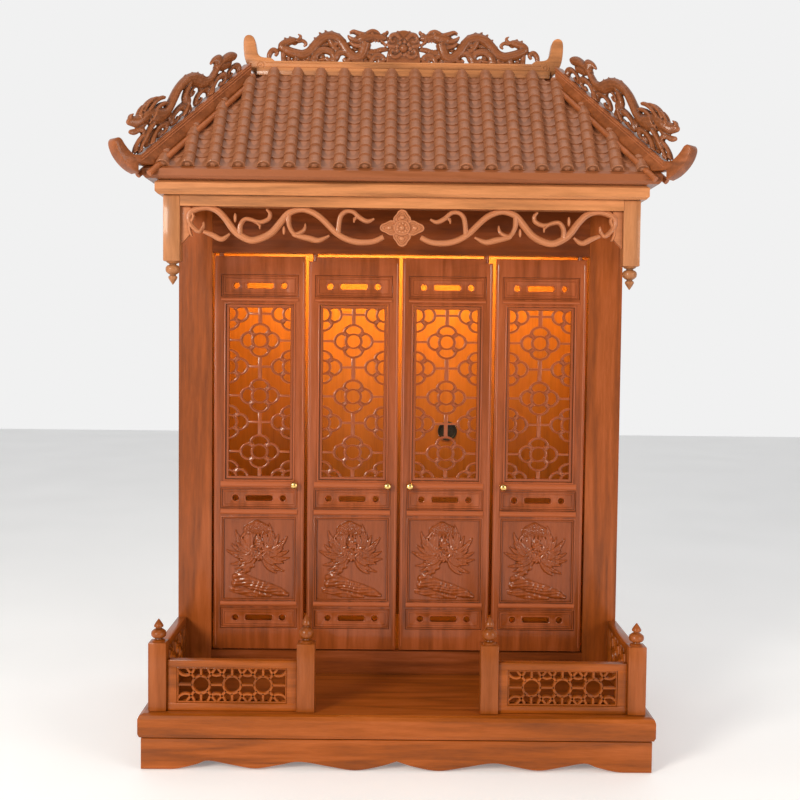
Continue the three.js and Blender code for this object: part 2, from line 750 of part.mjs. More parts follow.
function scrollFrieze() {
  const pieces = [];
  for (const sign of [-1, 1]) {
    const bracket = [
      [sign * (beamHalf - bracketWidth), friezeTopZ],
      [sign * beamHalf, friezeTopZ],
      [sign * beamHalf, friezeTopZ - friezeDrop],
      [sign * (beamHalf - bracketWidth), friezeTopZ - friezeDrop + bracketWidth],
    ];
    pieces.push(upright(outline(bracket), friezeY, friezeThickness + 1));
    pieces.push(friezeStrip(vine, sign, vineWidth, 20));
    tendrils.forEach((points) => pieces.push(friezeStrip(points, sign, 0.8 * vineWidth, 3)));
  }
  const middleZ = friezeTopZ - friezeDrop / 2;
  const petals = Array.from({ length: 2 * rosettePetals }, (unused, i) => {
    const angle = (Math.PI * i) / rosettePetals;
    const reach = rosetteRadius * (i % 2 ? 0.8 : 1);
    return [1.15 * reach * Math.cos(angle), middleZ + 0.9 * reach * Math.sin(angle)];
  });
  pieces.push(upright(outline(petals), friezeY - rosetteLift, friezeThickness));
  const eye = regular(8, rosetteRadius * 0.35, rosetteRadius * 0.35).map(([x, z]) => [x, middleZ + z]);
  pieces.push(upright(outline(eye), friezeY - 2 * rosetteLift, friezeThickness));
  return join(pieces);
}

addPiece("scroll_frieze", scrollFrieze(), carvedWood());

// Cornice and eave boards
addPiece(
  "cornice_board",
  slab(corniceHalf, corniceY, backY, cabinetTopZ, corniceTopZ - seatGap, edgeRound),
  corniceWood(),
);
addPiece(
  "eave_board",
  slab(eaveHalf, eaveY, backY, corniceTopZ, eaveTopZ - seatGap, edgeRound),
  corniceWood(),
);

// Roof: ribbed boards cut to the plan of each slope
const slopeLength = Math.hypot(roofRise, roofRun);
const slopeCos = roofRun / slopeLength;
const slopeSin = roofRise / slopeLength;
const spare = 60; // by which a slope is made too long before it is cut to its plan

function ribbedSlope(width, top, down, plan) {
  const normal = new THREE.Vector3(down.x, down.y, 0).multiplyScalar(slopeSin / slopeCos);
  normal.z = slopeCos;
  normal.normalize();
  const across = new THREE.Vector3().crossVectors(normal, down);
  const points = [[-width / 2, -roofThickness], [width / 2, -roofThickness], [width / 2, 0]];
  const count = Math.floor(width / tilePitch);
  for (let i = count - 1; i >= 0; i -= 1) {
    const middle = (i - (count - 1) / 2) * tilePitch;
    points.push(
      [middle + tileRadius, 0],
      [middle + 0.6 * tileRadius, tileHeight],
      [middle - 0.6 * tileRadius, tileHeight],
      [middle - tileRadius, 0],
    );
  }
  points.push([-width / 2, 0]);
  const board = extrude(outline(points), slopeLength + 2 * spare, 0).translate(0, 0, -spare);
  board.applyMatrix4(new THREE.Matrix4().makeBasis(across, normal, down));
  board.translate(top.x, top.y, top.z);
  const region = extrude(outline(plan), roofRise + spare, 0).translate(0, 0, eaveTopZ);
  const clear = [hipChannel(-1), hipChannel(1), ridgeSeat];
  return cut(clip(board, region), clear);
}

// Room for the ridge beam and its horns across the upper edges of the slopes
const ridgeSeat = boxBetween(
  [-ridgeHalf - ridgeHornReach - seatGap, ridgeY - seatGap, deckZ - seatGap],
  [ridgeHalf + ridgeHornReach + seatGap, ridgeY + ridgeThickness + seatGap, ridgeTopZ],
);

// A point of the hip plane: s is the distance in plan from the end of the ridge
function hipPlace(geometry, sign) {
  const turn = sign > 0 ? -Math.PI / 4 : (-3 * Math.PI) / 4;
  return geometry.rotateZ(turn).translate(sign * ridgeHalf, ridgeY, 0);
}

function hipChannel(sign) {
  const length = Math.SQRT2 * (roofRun + spare);
  const half = hipWidth / 2 + seatGap;
  return hipPlace(boxBetween([hipStart - seatGap, -half, eaveTopZ - 1], [length, half, ridgeTopZ]), sign);
}

const lowY = slopeY - tileOverhang;
const lowX = slopeHalf + tileOverhang;
// From the hip line to a slope's corner, along the eave
const hipClearance = Math.SQRT2 * (hipWidth / 2 + seatGap);
const cornerX = slopeHalf - hipClearance;
const cornerY = slopeY + hipClearance;
const frontPlan = [
  [-cornerX, lowY],
  [cornerX, lowY],
  [cornerX, slopeY],
  [ridgeHalf - seatGap, ridgeY - seatGap],
  [-ridgeHalf + seatGap, ridgeY - seatGap],
  [-cornerX, slopeY],
];
const eaveCount = Math.ceil((2 * slopeHalf) / tilePitch);
addPiece(
  "roof_front",
  ribbedSlope(
    eaveCount * tilePitch,
    new THREE.Vector3(0, ridgeY, deckZ),
    new THREE.Vector3(0, -slopeCos, -slopeSin),
    frontPlan,
  ),
  tileWood(),
);
const sideLength = roofBackY - seatGap - lowY;
for (const [side, sign] of [["left", -1], ["right", 1]]) {
  const plan = [
    [sign * (ridgeHalf + seatGap), ridgeY],
    [sign * slopeHalf, cornerY],
    [sign * lowX, cornerY],
    [sign * lowX, roofBackY - seatGap],
    [sign * (ridgeHalf + seatGap), roofBackY - seatGap],
  ];
  addPiece(
    `roof_${side}`,
    ribbedSlope(
      sideLength + spare,
      new THREE.Vector3(sign * ridgeHalf, (lowY + roofBackY) / 2, deckZ),
      new THREE.Vector3(sign * slopeCos, 0, -slopeSin),
      plan,
    ),
    tileWood(),
  );
}
addPiece(
  "roof_deck",
  boxBetween([-ridgeHalf, ridgeY, deckZ - roofThickness], [ridgeHalf, roofBackY - seatGap, deckZ - seatGap]),
  sideWood(),
);
const gable = [[-slopeHalf, eaveTopZ], [slopeHalf, eaveTopZ], [ridgeHalf, deckZ], [-ridgeHalf, deckZ]];
addPiece("roof_back", upright(outline(gable), roofBackY, backThickness), sideWood());

// Ridge beam with horned ends: [distance beyond the ridge end, height above the deck]
const hornTipZ = deckZ + ridgeHeight + ridgeHornHeight;
const hornOutline = (sign) => {
  const place = (out, up) => [sign * (ridgeHalf + out), up];
  return [
    place(0, deckZ),
    place(0.5 * ridgeHornReach, deckZ + 0.3 * ridgeHeight),
    place(0.85 * ridgeHornReach, ridgeTopZ),
    place(ridgeHornReach, hornTipZ - 0.45 * ridgeHornHeight),
    place(0.93 * ridgeHornReach, hornTipZ),
    place(0.6 * ridgeHornReach, hornTipZ - 0.1 * ridgeHornHeight),
    place(0.35 * ridgeHornReach, hornTipZ - 0.5 * ridgeHornHeight),
    place(-0.2 * ridgeHornReach, hornTipZ - 0.85 * ridgeHornHeight),
    place(-0.85 * ridgeHornReach, hornTipZ - 0.85 * ridgeHornHeight),
    place(-0.9 * ridgeHornReach, hornTipZ - 0.7 * ridgeHornHeight),
    place(-1.2 * ridgeHornReach, hornTipZ - 0.48 * ridgeHornHeight),
    place(-1.6 * ridgeHornReach, hornTipZ - 0.5 * ridgeHornHeight),
    place(-1.45 * ridgeHornReach, hornTipZ - 0.75 * ridgeHornHeight),
    place(-1.55 * ridgeHornReach, ridgeTopZ),
  ];
};
addPiece(
  "ridge",
  upright(outline([...hornOutline(1), ...hornOutline(-1).reverse()]), ridgeY, ridgeThickness),
  corniceWood(),
);

// Ridge carving, drawn in shares of its height: distance from the middle, height above the ridge
const dragonBody = [
  [3.22, 0.61, 0.09], [3.36, 0.66, 0.15], [3.59, 0.58, 0.2], [3.71, 0.46, 0.22], [3.53, 0.34, 0.24],
  [3.28, 0.25, 0.26], [3.07, 0.23, 0.26], [2.86, 0.31, 0.26], [2.68, 0.53, 0.26], [2.49, 0.73, 0.26],
  [2.25, 0.82, 0.25], [2, 0.72, 0.25], [1.85, 0.53, 0.25], [1.7, 0.32, 0.26], [1.48, 0.17, 0.27],
  [1.29, 0.23, 0.27], [1.22, 0.44, 0.3], [1.18, 0.66, 0.32],
];
const dragonHead = [
  [1.64, 0.6], [1.64, 0.86], [1.54, 0.98], [1.49, 0.87], [1.33, 0.88], [1.18, 0.99], [1, 1.02],
  [0.78, 0.96], [0.65, 0.82], [0.56, 0.98], [0.45, 1], [0.42, 0.79], [0.63, 0.65], [0.97, 0.62],
  [1.06, 0.52], [1.5, 0.5],
];
const dragonJaw = [
  [1.15, 0.4], [0.72, 0.47], [0.48, 0.44], [0.44, 0.33], [0.6, 0.3], [0.78, 0.16], [0.94, 0.08], [1.2, 0.1],
];
const dragonLeg = [
  [2.62, 0], [2.67, 0.17], [2.58, 0.35], [2.4, 0.55], [1.9, 0.5], [1.97, 0.38], [2.16, 0.35], [2.16, 0],
];
const dragonClaw = [[0.75, 0], [0.7, 0.14], [0.6, 0.22], [0.49, 0.2], [0.46, 0]];
const tailFoot = [[3.74, 0.42], [3.6, 0.38], [3.58, 0], [3.73, 0]];
const rumpFoot = [[1.75, 0], [1.72, 0.12], [1.55, 0.24], [1.35, 0.22], [1.2, 0]];
const medallion = [[0.56, 0], [0.52, 0.3], [0.5, 0.9], [0.42, 0.98], [0.25, 0.92], [0.12, 0.96]];
const carvingTop = ridgeTopZ + seatGap;
const carvingY = ridgeY + carvingSetback;
const carvingDepth = ridgeThickness - 2 * carvingSetback;

function ridgeShape(points, sign) {
  return outline(points.map(([x, z]) => [sign * x * carvingHeight, carvingTop + z * carvingHeight]));
}

function ridgeCarving() {
  const pieces = [];
  for (const sign of [-1, 1]) {
    const body = dragonBody.map(([x, z, width]) => [
      sign * x * carvingHeight,
      carvingTop + z * carvingHeight,
      width * carvingHeight,
    ]);
    pieces.push(upright(ribbon(body, 20), carvingY + 1, carvingDepth - 2));
    const parts = [dragonHead, dragonJaw, dragonLeg, dragonClaw, tailFoot, rumpFoot];
    parts.forEach((points) => pieces.push(upright(ridgeShape(points, sign), carvingY, carvingDepth)));
  }
  const right = medallion.map(([x, z]) => [x * carvingHeight, carvingTop + z * carvingHeight]);
  const left = right.map(([x, z]) => [-x, z]).reverse();
  pieces.push(upright(outline([...right, ...left]), carvingY - 1, carvingDepth + 2));
  const pearl = new THREE.SphereGeometry(0.11 * carvingHeight, 8, 5);
  pieces.push(pearl.translate(0, carvingY - 1, carvingTop + 0.36 * carvingHeight));
  return join(pieces);
}

addPiece("ridge_carving", ridgeCarving(), carvedWood());

// Hip beams with upturned ends, in the hip plane
const hipFall = roofRise / (Math.SQRT2 * roofRun);
const hipTop = (s) => deckZ + hipRise - hipFallShare * hipFall * s;
const hipBottom = (s) => deckZ - hipSink - hipFall * s;
const eaveCorner = Math.SQRT2 * (eaveHalf - ridgeHalf) + hipWidth / 2 + 1;
const hipFoot = (deckZ - hipSink - eaveTopZ) / hipFall;

// Upturned end of a hip beam, in shares: [beyond the corner of the eave board, above the eave]
const hornCurve = [
  [0, -0.42], [0.32, -0.27], [0.63, 0], [0.87, 0.33], [1, 0.73], [0.87, 0.98], [0.7, 0.9], [0.55, 0.67],
  [0.3, 0.46],
];

function hipBeam(sign) {
  const points = [
    [hipStart, hipBottom(hipStart)],
    [hipFoot, eaveTopZ],
    [eaveCorner, eaveTopZ],
    ...hornCurve.map(([out, up]) => [eaveCorner + out * hipHornReach, eaveTopZ + up * hipHornHeight]),
    [eaveCorner, hipTop(eaveCorner)],
    [hipStart, hipTop(hipStart)],
  ];
  return hipPlace(upright(outline(points), -hipWidth / 2, hipWidth), sign);
}

// Hip dragon along the beam, from its tail to the claw under its head, in shares of its length and height
const dragonCrest = [
  [0.09, 0.45], [0.27, 0.68], [0.3, 0.61], [0.27, 0.32], [0.46, 0.74], [0.6, 0.89], [0.68, 0.73],
  [0.74, 0.88], [0.79, 0.92], [0.83, 0.85], [0.91, 0.98], [0.97, 0.94], [1.01, 0.85], [1.04, 0.98],
  [1.07, 1], [1.05, 0.83], [0.97, 0.61], [0.93, 0.42], [0.93, 0.27], [0.97, 0.29],
];

function hipDragon(sign) {
  const place = (along, up) => {
    const s = dragonStart + along * dragonLength;
    return [s, hipTop(s) + seatGap + up * dragonHeight];
  };
  const crest = dragonCrest.map(([along, up]) => place(along, up));
  const points = [place(0, 0), ...crest, place(1, 0.1), place(1, 0)];
  const body = upright(outline(points), -dragonThickness / 2, dragonThickness, dragonBevel);
  return hipPlace(body, sign);
}

for (const [side, sign] of [["left", -1], ["right", 1]]) {
  addPiece(`hip_${side}`, hipBeam(sign), corniceWood());
  addPiece(`hip_dragon_${side}`, hipDragon(sign), carvedWood());
}

export default cabinet;
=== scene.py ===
# Household altar cabinet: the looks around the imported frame. Shapes are drawn in millimetres.
import math

import bmesh
import bpy
import numpy as np
from mathutils import Matrix, Vector


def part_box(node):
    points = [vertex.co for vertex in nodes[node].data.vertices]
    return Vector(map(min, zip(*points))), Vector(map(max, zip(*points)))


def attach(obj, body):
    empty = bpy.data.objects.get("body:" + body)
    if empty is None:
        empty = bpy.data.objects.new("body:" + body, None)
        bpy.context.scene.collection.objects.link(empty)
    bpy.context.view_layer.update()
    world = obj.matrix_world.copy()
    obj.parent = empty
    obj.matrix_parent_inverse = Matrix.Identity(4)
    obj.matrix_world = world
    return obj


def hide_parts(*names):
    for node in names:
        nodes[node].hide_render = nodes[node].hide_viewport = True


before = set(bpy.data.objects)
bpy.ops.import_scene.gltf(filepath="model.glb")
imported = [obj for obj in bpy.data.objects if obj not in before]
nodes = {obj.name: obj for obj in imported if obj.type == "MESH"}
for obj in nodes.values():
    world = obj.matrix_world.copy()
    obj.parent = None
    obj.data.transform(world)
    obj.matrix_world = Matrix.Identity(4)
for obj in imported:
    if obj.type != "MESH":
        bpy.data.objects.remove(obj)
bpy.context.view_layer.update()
toMetres = 0.001


class Shape:
    # Points in millimetres and faces, gathered before they become one mesh
    def __init__(self, points=(), faces=()):
        self.points = list(points)
        self.faces = list(faces)

    def take(self, *others):
        for other in others:
            first = len(self.points)
            self.points += other.points
            self.faces += [tuple(first + i for i in face) for face in other.faces]
        return self

    def placed(self, place):
        return Shape([tuple(place(*point)) for point in self.points], self.faces)

    def moved(self, dx=0, dy=0, dz=0):
        return self.placed(lambda x, y, z: (x + dx, y + dy, z + dz))

    def mirrored(self, sign):
        return self.placed(lambda x, y, z: (sign * x, y, z))

    def toBmesh(self, scale=1.0):
        mesh = bmesh.new()
        made = [mesh.verts.new([scale * value for value in point]) for point in self.points]
        for face in self.faces:
            try:
                mesh.faces.new([made[i] for i in face])
            except ValueError:
                continue
        return mesh

    # Cuts away what lies beyond a plane and closes the cut
    def cutBy(self, point, normal):
        mesh = self.toBmesh()
        everything = mesh.verts[:] + mesh.edges[:] + mesh.faces[:]
        bmesh.ops.bisect_plane(mesh, geom=everything, plane_co=point, plane_no=normal, clear_outer=True)
        openEdges = [edge for edge in mesh.edges if edge.is_boundary]
        bmesh.ops.holes_fill(mesh, edges=openEdges, sides=0)
        return fromBmesh(mesh)


# New object in the scene that holds the data
def linked(name, data):
    holder = bpy.data.objects.new(name, data)
    bpy.context.scene.collection.objects.link(holder)
    return holder


def fromBmesh(mesh):
    mesh.verts.index_update()
    points = [tuple(vert.co) for vert in mesh.verts]
    faces = [tuple(vert.index for vert in face.verts) for face in mesh.faces]
    mesh.free()
    return Shape(points, faces)


def fromMesh(data):
    points = [tuple(vert.co) for vert in data.vertices]
    faces = [tuple(polygon.vertices) for polygon in data.polygons]
    bpy.data.meshes.remove(data)
    return Shape(points, faces)


# Joins rings of points into a skin; open rows get an end cap
def skin(rings, closed=False):
    count = len(rings[0])
    points = [tuple(point) for ring in rings for point in ring]
    faces = []
    last = len(rings) if closed else len(rings) - 1
    for i in range(last):
        here = i * count
        there = ((i + 1) % len(rings)) * count
        for k in range(count):
            after = (k + 1) % count
            faces.append((here + k, here + after, there + after, there + k))
    if not closed:
        faces.append(tuple(range(count)))
        faces.append(tuple(last * count + k for k in range(count)))
    return Shape(points, faces)


def board(low, high, rounding=1.0, segments=2):
    mesh = bmesh.new()
    bmesh.ops.create_cube(mesh, size=1)
    for vert in mesh.verts:
        for axis in range(3):
            middle = (low[axis] + high[axis]) / 2
            vert.co[axis] = middle + vert.co[axis] * (high[axis] - low[axis])
    if rounding:
        bmesh.ops.bevel(
            mesh, geom=mesh.edges[:], offset=rounding, segments=segments, profile=0.5, affect="EDGES"
        )
    return fromBmesh(mesh)


# Smooth line through given points of any number of values
def smoothPath(points, steps=6, closed=False):
    given = [np.array(point, float) for point in points]
    count = len(given)
    spans = count if closed else count - 1
    result = []
    for i in range(spans):
        if closed:
            before, here, there, after = (given[(i + k - 1) % count] for k in range(4))
        else:
            before, here = given[max(i - 1, 0)], given[i]
            there, after = given[i + 1], given[min(i + 2, count - 1)]
        for step in range(steps):
            t = step / steps
            bend = (2 * before - 5 * here + 4 * there - after) * t**2
            twist = (3 * here - before - 3 * there + after) * t**3
            result.append(0.5 * (2 * here + (there - before) * t + bend + twist))
    if not closed:
        result.append(given[-1])
    return result


# Rounded bar along a line in the x, z plane; each point is x, z, width, and thickness counts along y
def vineBar(points, thickness, y=0.0, steps=6, sides=10, closed=False, square=1.0, lean=None):
    path = smoothPath(points, steps, closed) if steps else [np.array(point, float) for point in points]
    rings = []
    count = len(path)
    for i, at in enumerate(path):
        if closed:
            along = path[(i + 1) % count][:2] - path[i - 1][:2]
        else:
            along = path[min(i + 1, count - 1)][:2] - path[max(i - 1, 0)][:2]
        along = along / max(np.hypot(*along), 1e-9)
        across = (-along[1], along[0])
        half = at[2] / 2
        deep = thickness / 2 * (min(1.0, at[2] / lean) if lean else 1.0)
        ring = []
        for k in range(sides):
            angle = 2 * math.pi * (k + 0.5) / sides
            c, s = math.cos(angle), math.sin(angle)
            c = math.copysign(abs(c) ** square, c)
            s = math.copysign(abs(s) ** square, s)
            ring.append((at[0] + across[0] * half * c, y + deep * s, at[1] + across[1] * half * c))
        rings.append(ring)
    return skin(rings, closed)


# Rounded limb along a line in space; each point is x, y, z, radius
def limb(points, steps=5, sides=10, flat=1.0):
    path = smoothPath(points, steps)
    rings = []
    up = np.array([0.0, 1.0, 0.0])
    for i, at in enumerate(path):
        along = path[min(i + 1, len(path) - 1)][:3] - path[max(i - 1, 0)][:3]
        along = along / max(np.linalg.norm(along), 1e-9)
        side = np.cross(along, up)
        side = side / max(np.linalg.norm(side), 1e-9)
        deep = np.cross(side, along)
        radius = at[3]
        turns = [2 * math.pi * k / sides for k in range(sides)]
        side, deep = side * radius, deep * flat * radius
        rings.append([tuple(at[:3] + side * math.cos(turn) + deep * math.sin(turn)) for turn in turns])
    return skin(rings)


def revolve(profile, sides=24):
    rings = []
    for radius, height in profile:
        reach = max(radius, 0.01)
        turns = [2 * math.pi * k / sides for k in range(sides)]
        rings.append([(reach * math.cos(turn), reach * math.sin(turn), height) for turn in turns])
    return skin(rings)


def ball(at, radii, sides=14, rows=8):
    profile = [(math.sin(math.pi * i / rows), -math.cos(math.pi * i / rows)) for i in range(rows + 1)]
    return revolve(profile, sides).placed(
        lambda x, y, z: (at[0] + x * radii[0], at[1] + y * radii[1], at[2] + z * radii[2])
    )


# Plate in the x, z plane with holes, its edges rounded
def plate(outer, holes, front, back, rounding=0.8, segments=1):
    curve = bpy.data.curves.new("plate", "CURVE")
    curve.dimensions = "2D"
    curve.fill_mode = "BOTH"
    curve.extrude = (back - front) / 2 - rounding
    curve.bevel_depth = rounding
    curve.bevel_resolution = segments
    curve.offset = -rounding
    for loop in [outer, *holes]:
        spline = curve.splines.new("POLY")
        spline.points.add(len(loop) - 1)
        for point, (x, z) in zip(spline.points, loop):
            point.co = (x, z, 0, 1)
        spline.use_cyclic_u = True
    holder = linked("plate", curve)
    bpy.context.view_layer.update()
    seen = holder.evaluated_get(bpy.context.evaluated_depsgraph_get())
    data = bpy.data.meshes.new_from_object(seen)
    bpy.data.objects.remove(holder)
    bpy.data.curves.remove(curve)
    mesh = bmesh.new()
    mesh.from_mesh(data)
    bpy.data.meshes.remove(data)
    bmesh.ops.remove_doubles(mesh, verts=mesh.verts[:], dist=0.001)
    middle = (front + back) / 2
    return fromBmesh(mesh).placed(lambda x, z, depth: (x, middle - depth, z))


def oval(x, z, radiusX, radiusZ, sides=20):
    turns = [2 * math.pi * k / sides for k in range(sides)]
    return [(x + radiusX * math.cos(turn), z + radiusZ * math.sin(turn)) for turn in turns]


def rectangle(x0, x1, z0, z1):
    return [(x0, z0), (x1, z0), (x1, z1), (x0, z1)]


# Moulding round an opening with mitred corners; the profile is inset from the edge and height off the board
def moulding(x0, x1, z0, z1, y, profile):
    corners = []
    for sideX, sideZ in [(0, 0), (1, 0), (1, 1), (0, 1)]:
        ring = []
        for inset, height in profile:
            x = x1 - inset if sideX else x0 + inset
            z = z1 - inset if sideZ else z0 + inset
            ring.append((x, y - height, z))
        corners.append(ring)
    return skin(corners, closed=True)


def beadProfile(inset, width, height, sides=5):
    ends = [math.pi * k / sides for k in range(sides + 1)]
    arch = [(inset + width / 2 - width / 2 * math.cos(turn), height * math.sin(turn)) for turn in ends]
    return [(inset, -0.6), *arch, (inset + width, -0.6)]


def remeshed(shape, voxel, smoothing=4):
    data = bpy.data.meshes.new("carving")
    data.from_pydata(shape.points, [], shape.faces)
    holder = linked("carving", data)
    modifier = holder.modifiers.new("union", "REMESH")
    modifier.mode = "VOXEL"
    modifier.voxel_size = voxel
    softer = holder.modifiers.new("soften", "SMOOTH")
    softer.factor = 0.5
    softer.iterations = smoothing
    bpy.context.view_layer.update()
    seen = holder.evaluated_get(bpy.context.evaluated_depsgraph_get())
    result = bpy.data.meshes.new_from_object(seen)
    bpy.data.objects.remove(holder)
    bpy.data.meshes.remove(data)
    return fromMesh(result)


def makePiece(name, shape, finish, body, replaced=(), sharpness=38):
    mesh = shape.toBmesh(toMetres)
    bmesh.ops.recalc_face_normals(mesh, faces=mesh.faces[:])
    data = bpy.data.meshes.new(name)
    mesh.to_mesh(data)
    mesh.free()
    data.polygons.foreach_set("use_smooth", [True] * len(data.polygons))
    data.set_sharp_from_angle(angle=math.radians(sharpness))
    data.materials.append(finish)
    piece = linked(name, data)
    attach(piece, body)
    if replaced:
        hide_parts(*replaced)


# Shader values that take arithmetic
class Wire:
    def __init__(self, tree, socket):
        self.tree = tree
        self.socket = socket

    def maths(self, operation, first, second):
        node = self.tree.nodes.new("ShaderNodeMath")
        node.operation = operation
        plug(self.tree, node.inputs[0], first)
        plug(self.tree, node.inputs[1], second)
        return Wire(self.tree, node.outputs[0])

    def __add__(self, other):
        return self.maths("ADD", self, other)

    def __radd__(self, other):
        return self.maths("ADD", other, self)

    def __sub__(self, other):
        return self.maths("SUBTRACT", self, other)

    def __rsub__(self, other):
        return self.maths("SUBTRACT", other, self)

    def __mul__(self, other):
        return self.maths("MULTIPLY", self, other)

    def __rmul__(self, other):
        return self.maths("MULTIPLY", other, self)

def plug(tree, slot, value):
    if isinstance(value, Wire):
        tree.links.new(value.socket, slot)
    else:
        slot.default_value = value


class Finish:
    def __init__(self, name, constants):
        self.material = bpy.data.materials.new(name)
        self.material.use_nodes = True
        self.tree = self.material.node_tree
        self.shader = self.tree.nodes["Principled BSDF"]
        for socket, value in constants.items():
            self.shader.inputs[socket].default_value = value

    def node(self, kind, settings, sockets, output=0):
        made = self.tree.nodes.new("ShaderNode" + kind)
        for name, value in settings.items():
            if name == "stops":
                ramp = made.color_ramp
                while len(ramp.elements) < len(value):
                    ramp.elements.new(0.5)
                for element, (position, colour) in zip(ramp.elements, value):
                    element.position = position
                    element.color = (*colour, 1)
            else:
                setattr(made, name, value)
        for slot, value in sockets.items():
            plug(self.tree, made.inputs[slot], value)
        return Wire(self.tree, made.outputs[output])

    def feed(self, socket, value):
        plug(self.tree, self.shader.inputs[socket], value)


# Noise scales and shares of the wood's grain. Distances are in metres.
grain = {
    "along": 5,
    "across": 70,
    "rings": 22.0,
    "streakShare": 0.55,
    "poreShare": 0.2,
    "cloudShare": 0.22,
    "lift": 0.05,
    "coatRoughness": 0.12,
    "specular": 0.2,
    # share of the tone left at the bottom of the painted shade
    "shadeTo": 0.42,
    "scaleShare": 2.2,
    "bump": 0.35,
    "bumpDepth": 0.0006,
}


def tinted(colour, share):
    return tuple(channel * share for channel in colour)


# Varnished wood with its grain along one axis. The pointiness strength paints shade into the hollows and a
# highlight onto the edges of carved pieces, the height span paints shade downwards between two heights where
# the shrine lamp's light falls off, scales sets a carved pattern in the bump.
def wood(
    name, middle, along, paintedShadeAndHighlight=0.0, roughness=0.38, figure=0.24, coat=0.26, spread=0.42, scales=0.0, paintedShadeSpan=None
):
    stretch = [grain["along"] if axis == along else grain["across"] for axis in "xyz"]
    constants = {
        "Coat Weight": coat,
        "Coat Roughness": grain["coatRoughness"],
        "Specular IOR Level": grain["specular"],
    }
    finish = Finish(name, constants)
    place = finish.node("TexCoord", {}, {}, "Object")
    laid = finish.node("Mapping", {}, {"Vector": place, "Scale": stretch})
    drift = finish.node("TexNoise", {}, {"Vector": laid, "Scale": 0.35, "Detail": 2.0, "Distortion": 0.6})
    rings = finish.node("Math", {"operation": "SINE"}, {0: drift * grain["rings"]}) * 0.5 + 0.5
    streaks = finish.node("TexNoise", {}, {"Vector": laid, "Scale": 2.6, "Detail": 5.0, "Roughness": 0.6})
    pores = finish.node("TexNoise", {}, {"Vector": laid, "Scale": 14.0, "Detail": 2.0})
    clouds = finish.node("TexNoise", {}, {"Vector": place, "Scale": 9.0, "Detail": 2.0})
    tone = rings * figure + streaks * grain["streakShare"] + pores * grain["poreShare"]
    tone = tone + clouds * grain["cloudShare"] + (grain["lift"] - figure * 0.5)
    # Painted shade: darker downwards between two heights, where the shrine lamp's light falls off inside
    if paintedShadeSpan:
        height = finish.node("SeparateXYZ", {}, {0: place}, "Z")
        span = {"Value": height, "From Min": paintedShadeSpan[0], "From Max": paintedShadeSpan[1], "To Min": grain["shadeTo"]}
        tone = tone * finish.node("MapRange", {}, span)
    # Painted shade in the hollows and painted highlight on the edges: the tone follows the mesh's pointiness
    if paintedShadeAndHighlight:
        edge = finish.node("NewGeometry", {}, {}, "Pointiness")
        tone = tone + (edge - 0.5) * paintedShadeAndHighlight
    light = tuple(min(1.0, channel * (1 + spread) + 0.012) for channel in middle)
    stops = [(0.08, tinted(middle, 0.25)), (0.3, tinted(middle, 1 - spread)), (0.55, middle), (0.85, light)]
    finish.feed("Base Color", finish.node("ValToRGB", {"stops": stops}, {"Fac": tone}))
    finish.feed("Roughness", pores * 0.2 + (roughness - 0.1))
    relief = pores * 0.5 + streaks * 0.5
    if scales:
        cells = finish.node("TexVoronoi", {}, {"Vector": place, "Scale": scales}, "Distance")
        relief = relief + cells * grain["scaleShare"]
    bump = {"Height": relief, "Strength": grain["bump"], "Distance": grain["bumpDepth"]}
    finish.feed("Normal", finish.node("Bump", {}, bump))
    return finish.material


tones = {
    "base": (0.29, 0.064, 0.003),
    "side": (0.26, 0.056, 0.006),
    "inside": (0.45, 0.135, 0.014),
    "door": (0.235, 0.048, 0.006),
    "cornice": (0.44, 0.17, 0.06),
    "eave": (0.24, 0.065, 0.015),
    "carved": (0.2, 0.06, 0.017),
    "tile": (0.235, 0.083, 0.034),
    "frieze": (0.34, 0.12, 0.045),
}
deeper = 0.75
railTone = tinted(tones["door"], 0.8)
baseWood = wood("baseWood", tones["base"], "x")
postWood = wood("postWood", tinted(tones["base"], deeper), "z", paintedShadeAndHighlight=2.5)
sideApronWood = wood("sideApronWood", tones["base"], "y")
sideWood = wood("sideWood", tones["side"], "z")
# Heights in metres of the painted shade inside the cabinet: darker downwards as the lamp's light falls off
insideShadeHeights = (0.3, 0.74)
insideWood = wood("insideWood", tones["inside"], "z", roughness=0.5, figure=0.06, spread=0.3, paintedShadeSpan=insideShadeHeights)
doorWood = wood("doorWood", tones["door"], "z", paintedShadeAndHighlight=5.0, coat=0.4)
railWood = wood("railWood", railTone, "x")
latticeWood = wood("latticeWood", railTone, "z", paintedShadeAndHighlight=7.0, figure=0.05, roughness=0.3, coat=0.5)
corniceWood = wood("corniceWood", tones["cornice"], "x")
hangingWood = wood("hangingWood", tinted(tones["cornice"], deeper), "z", paintedShadeAndHighlight=2.0)
roofWood = wood("roofWood", tones["side"], "x", roughness=0.5)
sideBeamWood = wood("sideBeamWood", tones["cornice"], "y")
eaveWood = wood("eaveWood", tinted(tones["eave"], deeper), "x", paintedShadeAndHighlight=2.0)
hipWood = wood("hipWood", tones["eave"], "y", paintedShadeAndHighlight=2.0)
reliefWood = wood("reliefWood", tones["door"], "z", paintedShadeAndHighlight=4.0, figure=0.05, roughness=0.3, coat=0.5)
carvedWood = wood("carvedWood", tones["carved"], "x", paintedShadeAndHighlight=8.0, figure=0.05, spread=0.45, scales=240.0)
friezeWood = wood("friezeWood", tones["frieze"], "x", paintedShadeAndHighlight=5.0, figure=0.05, spread=0.35)
tileWood = wood("tileWood", tones["tile"], "x", paintedShadeAndHighlight=2.5, roughness=0.45, figure=0.06, spread=0.4)


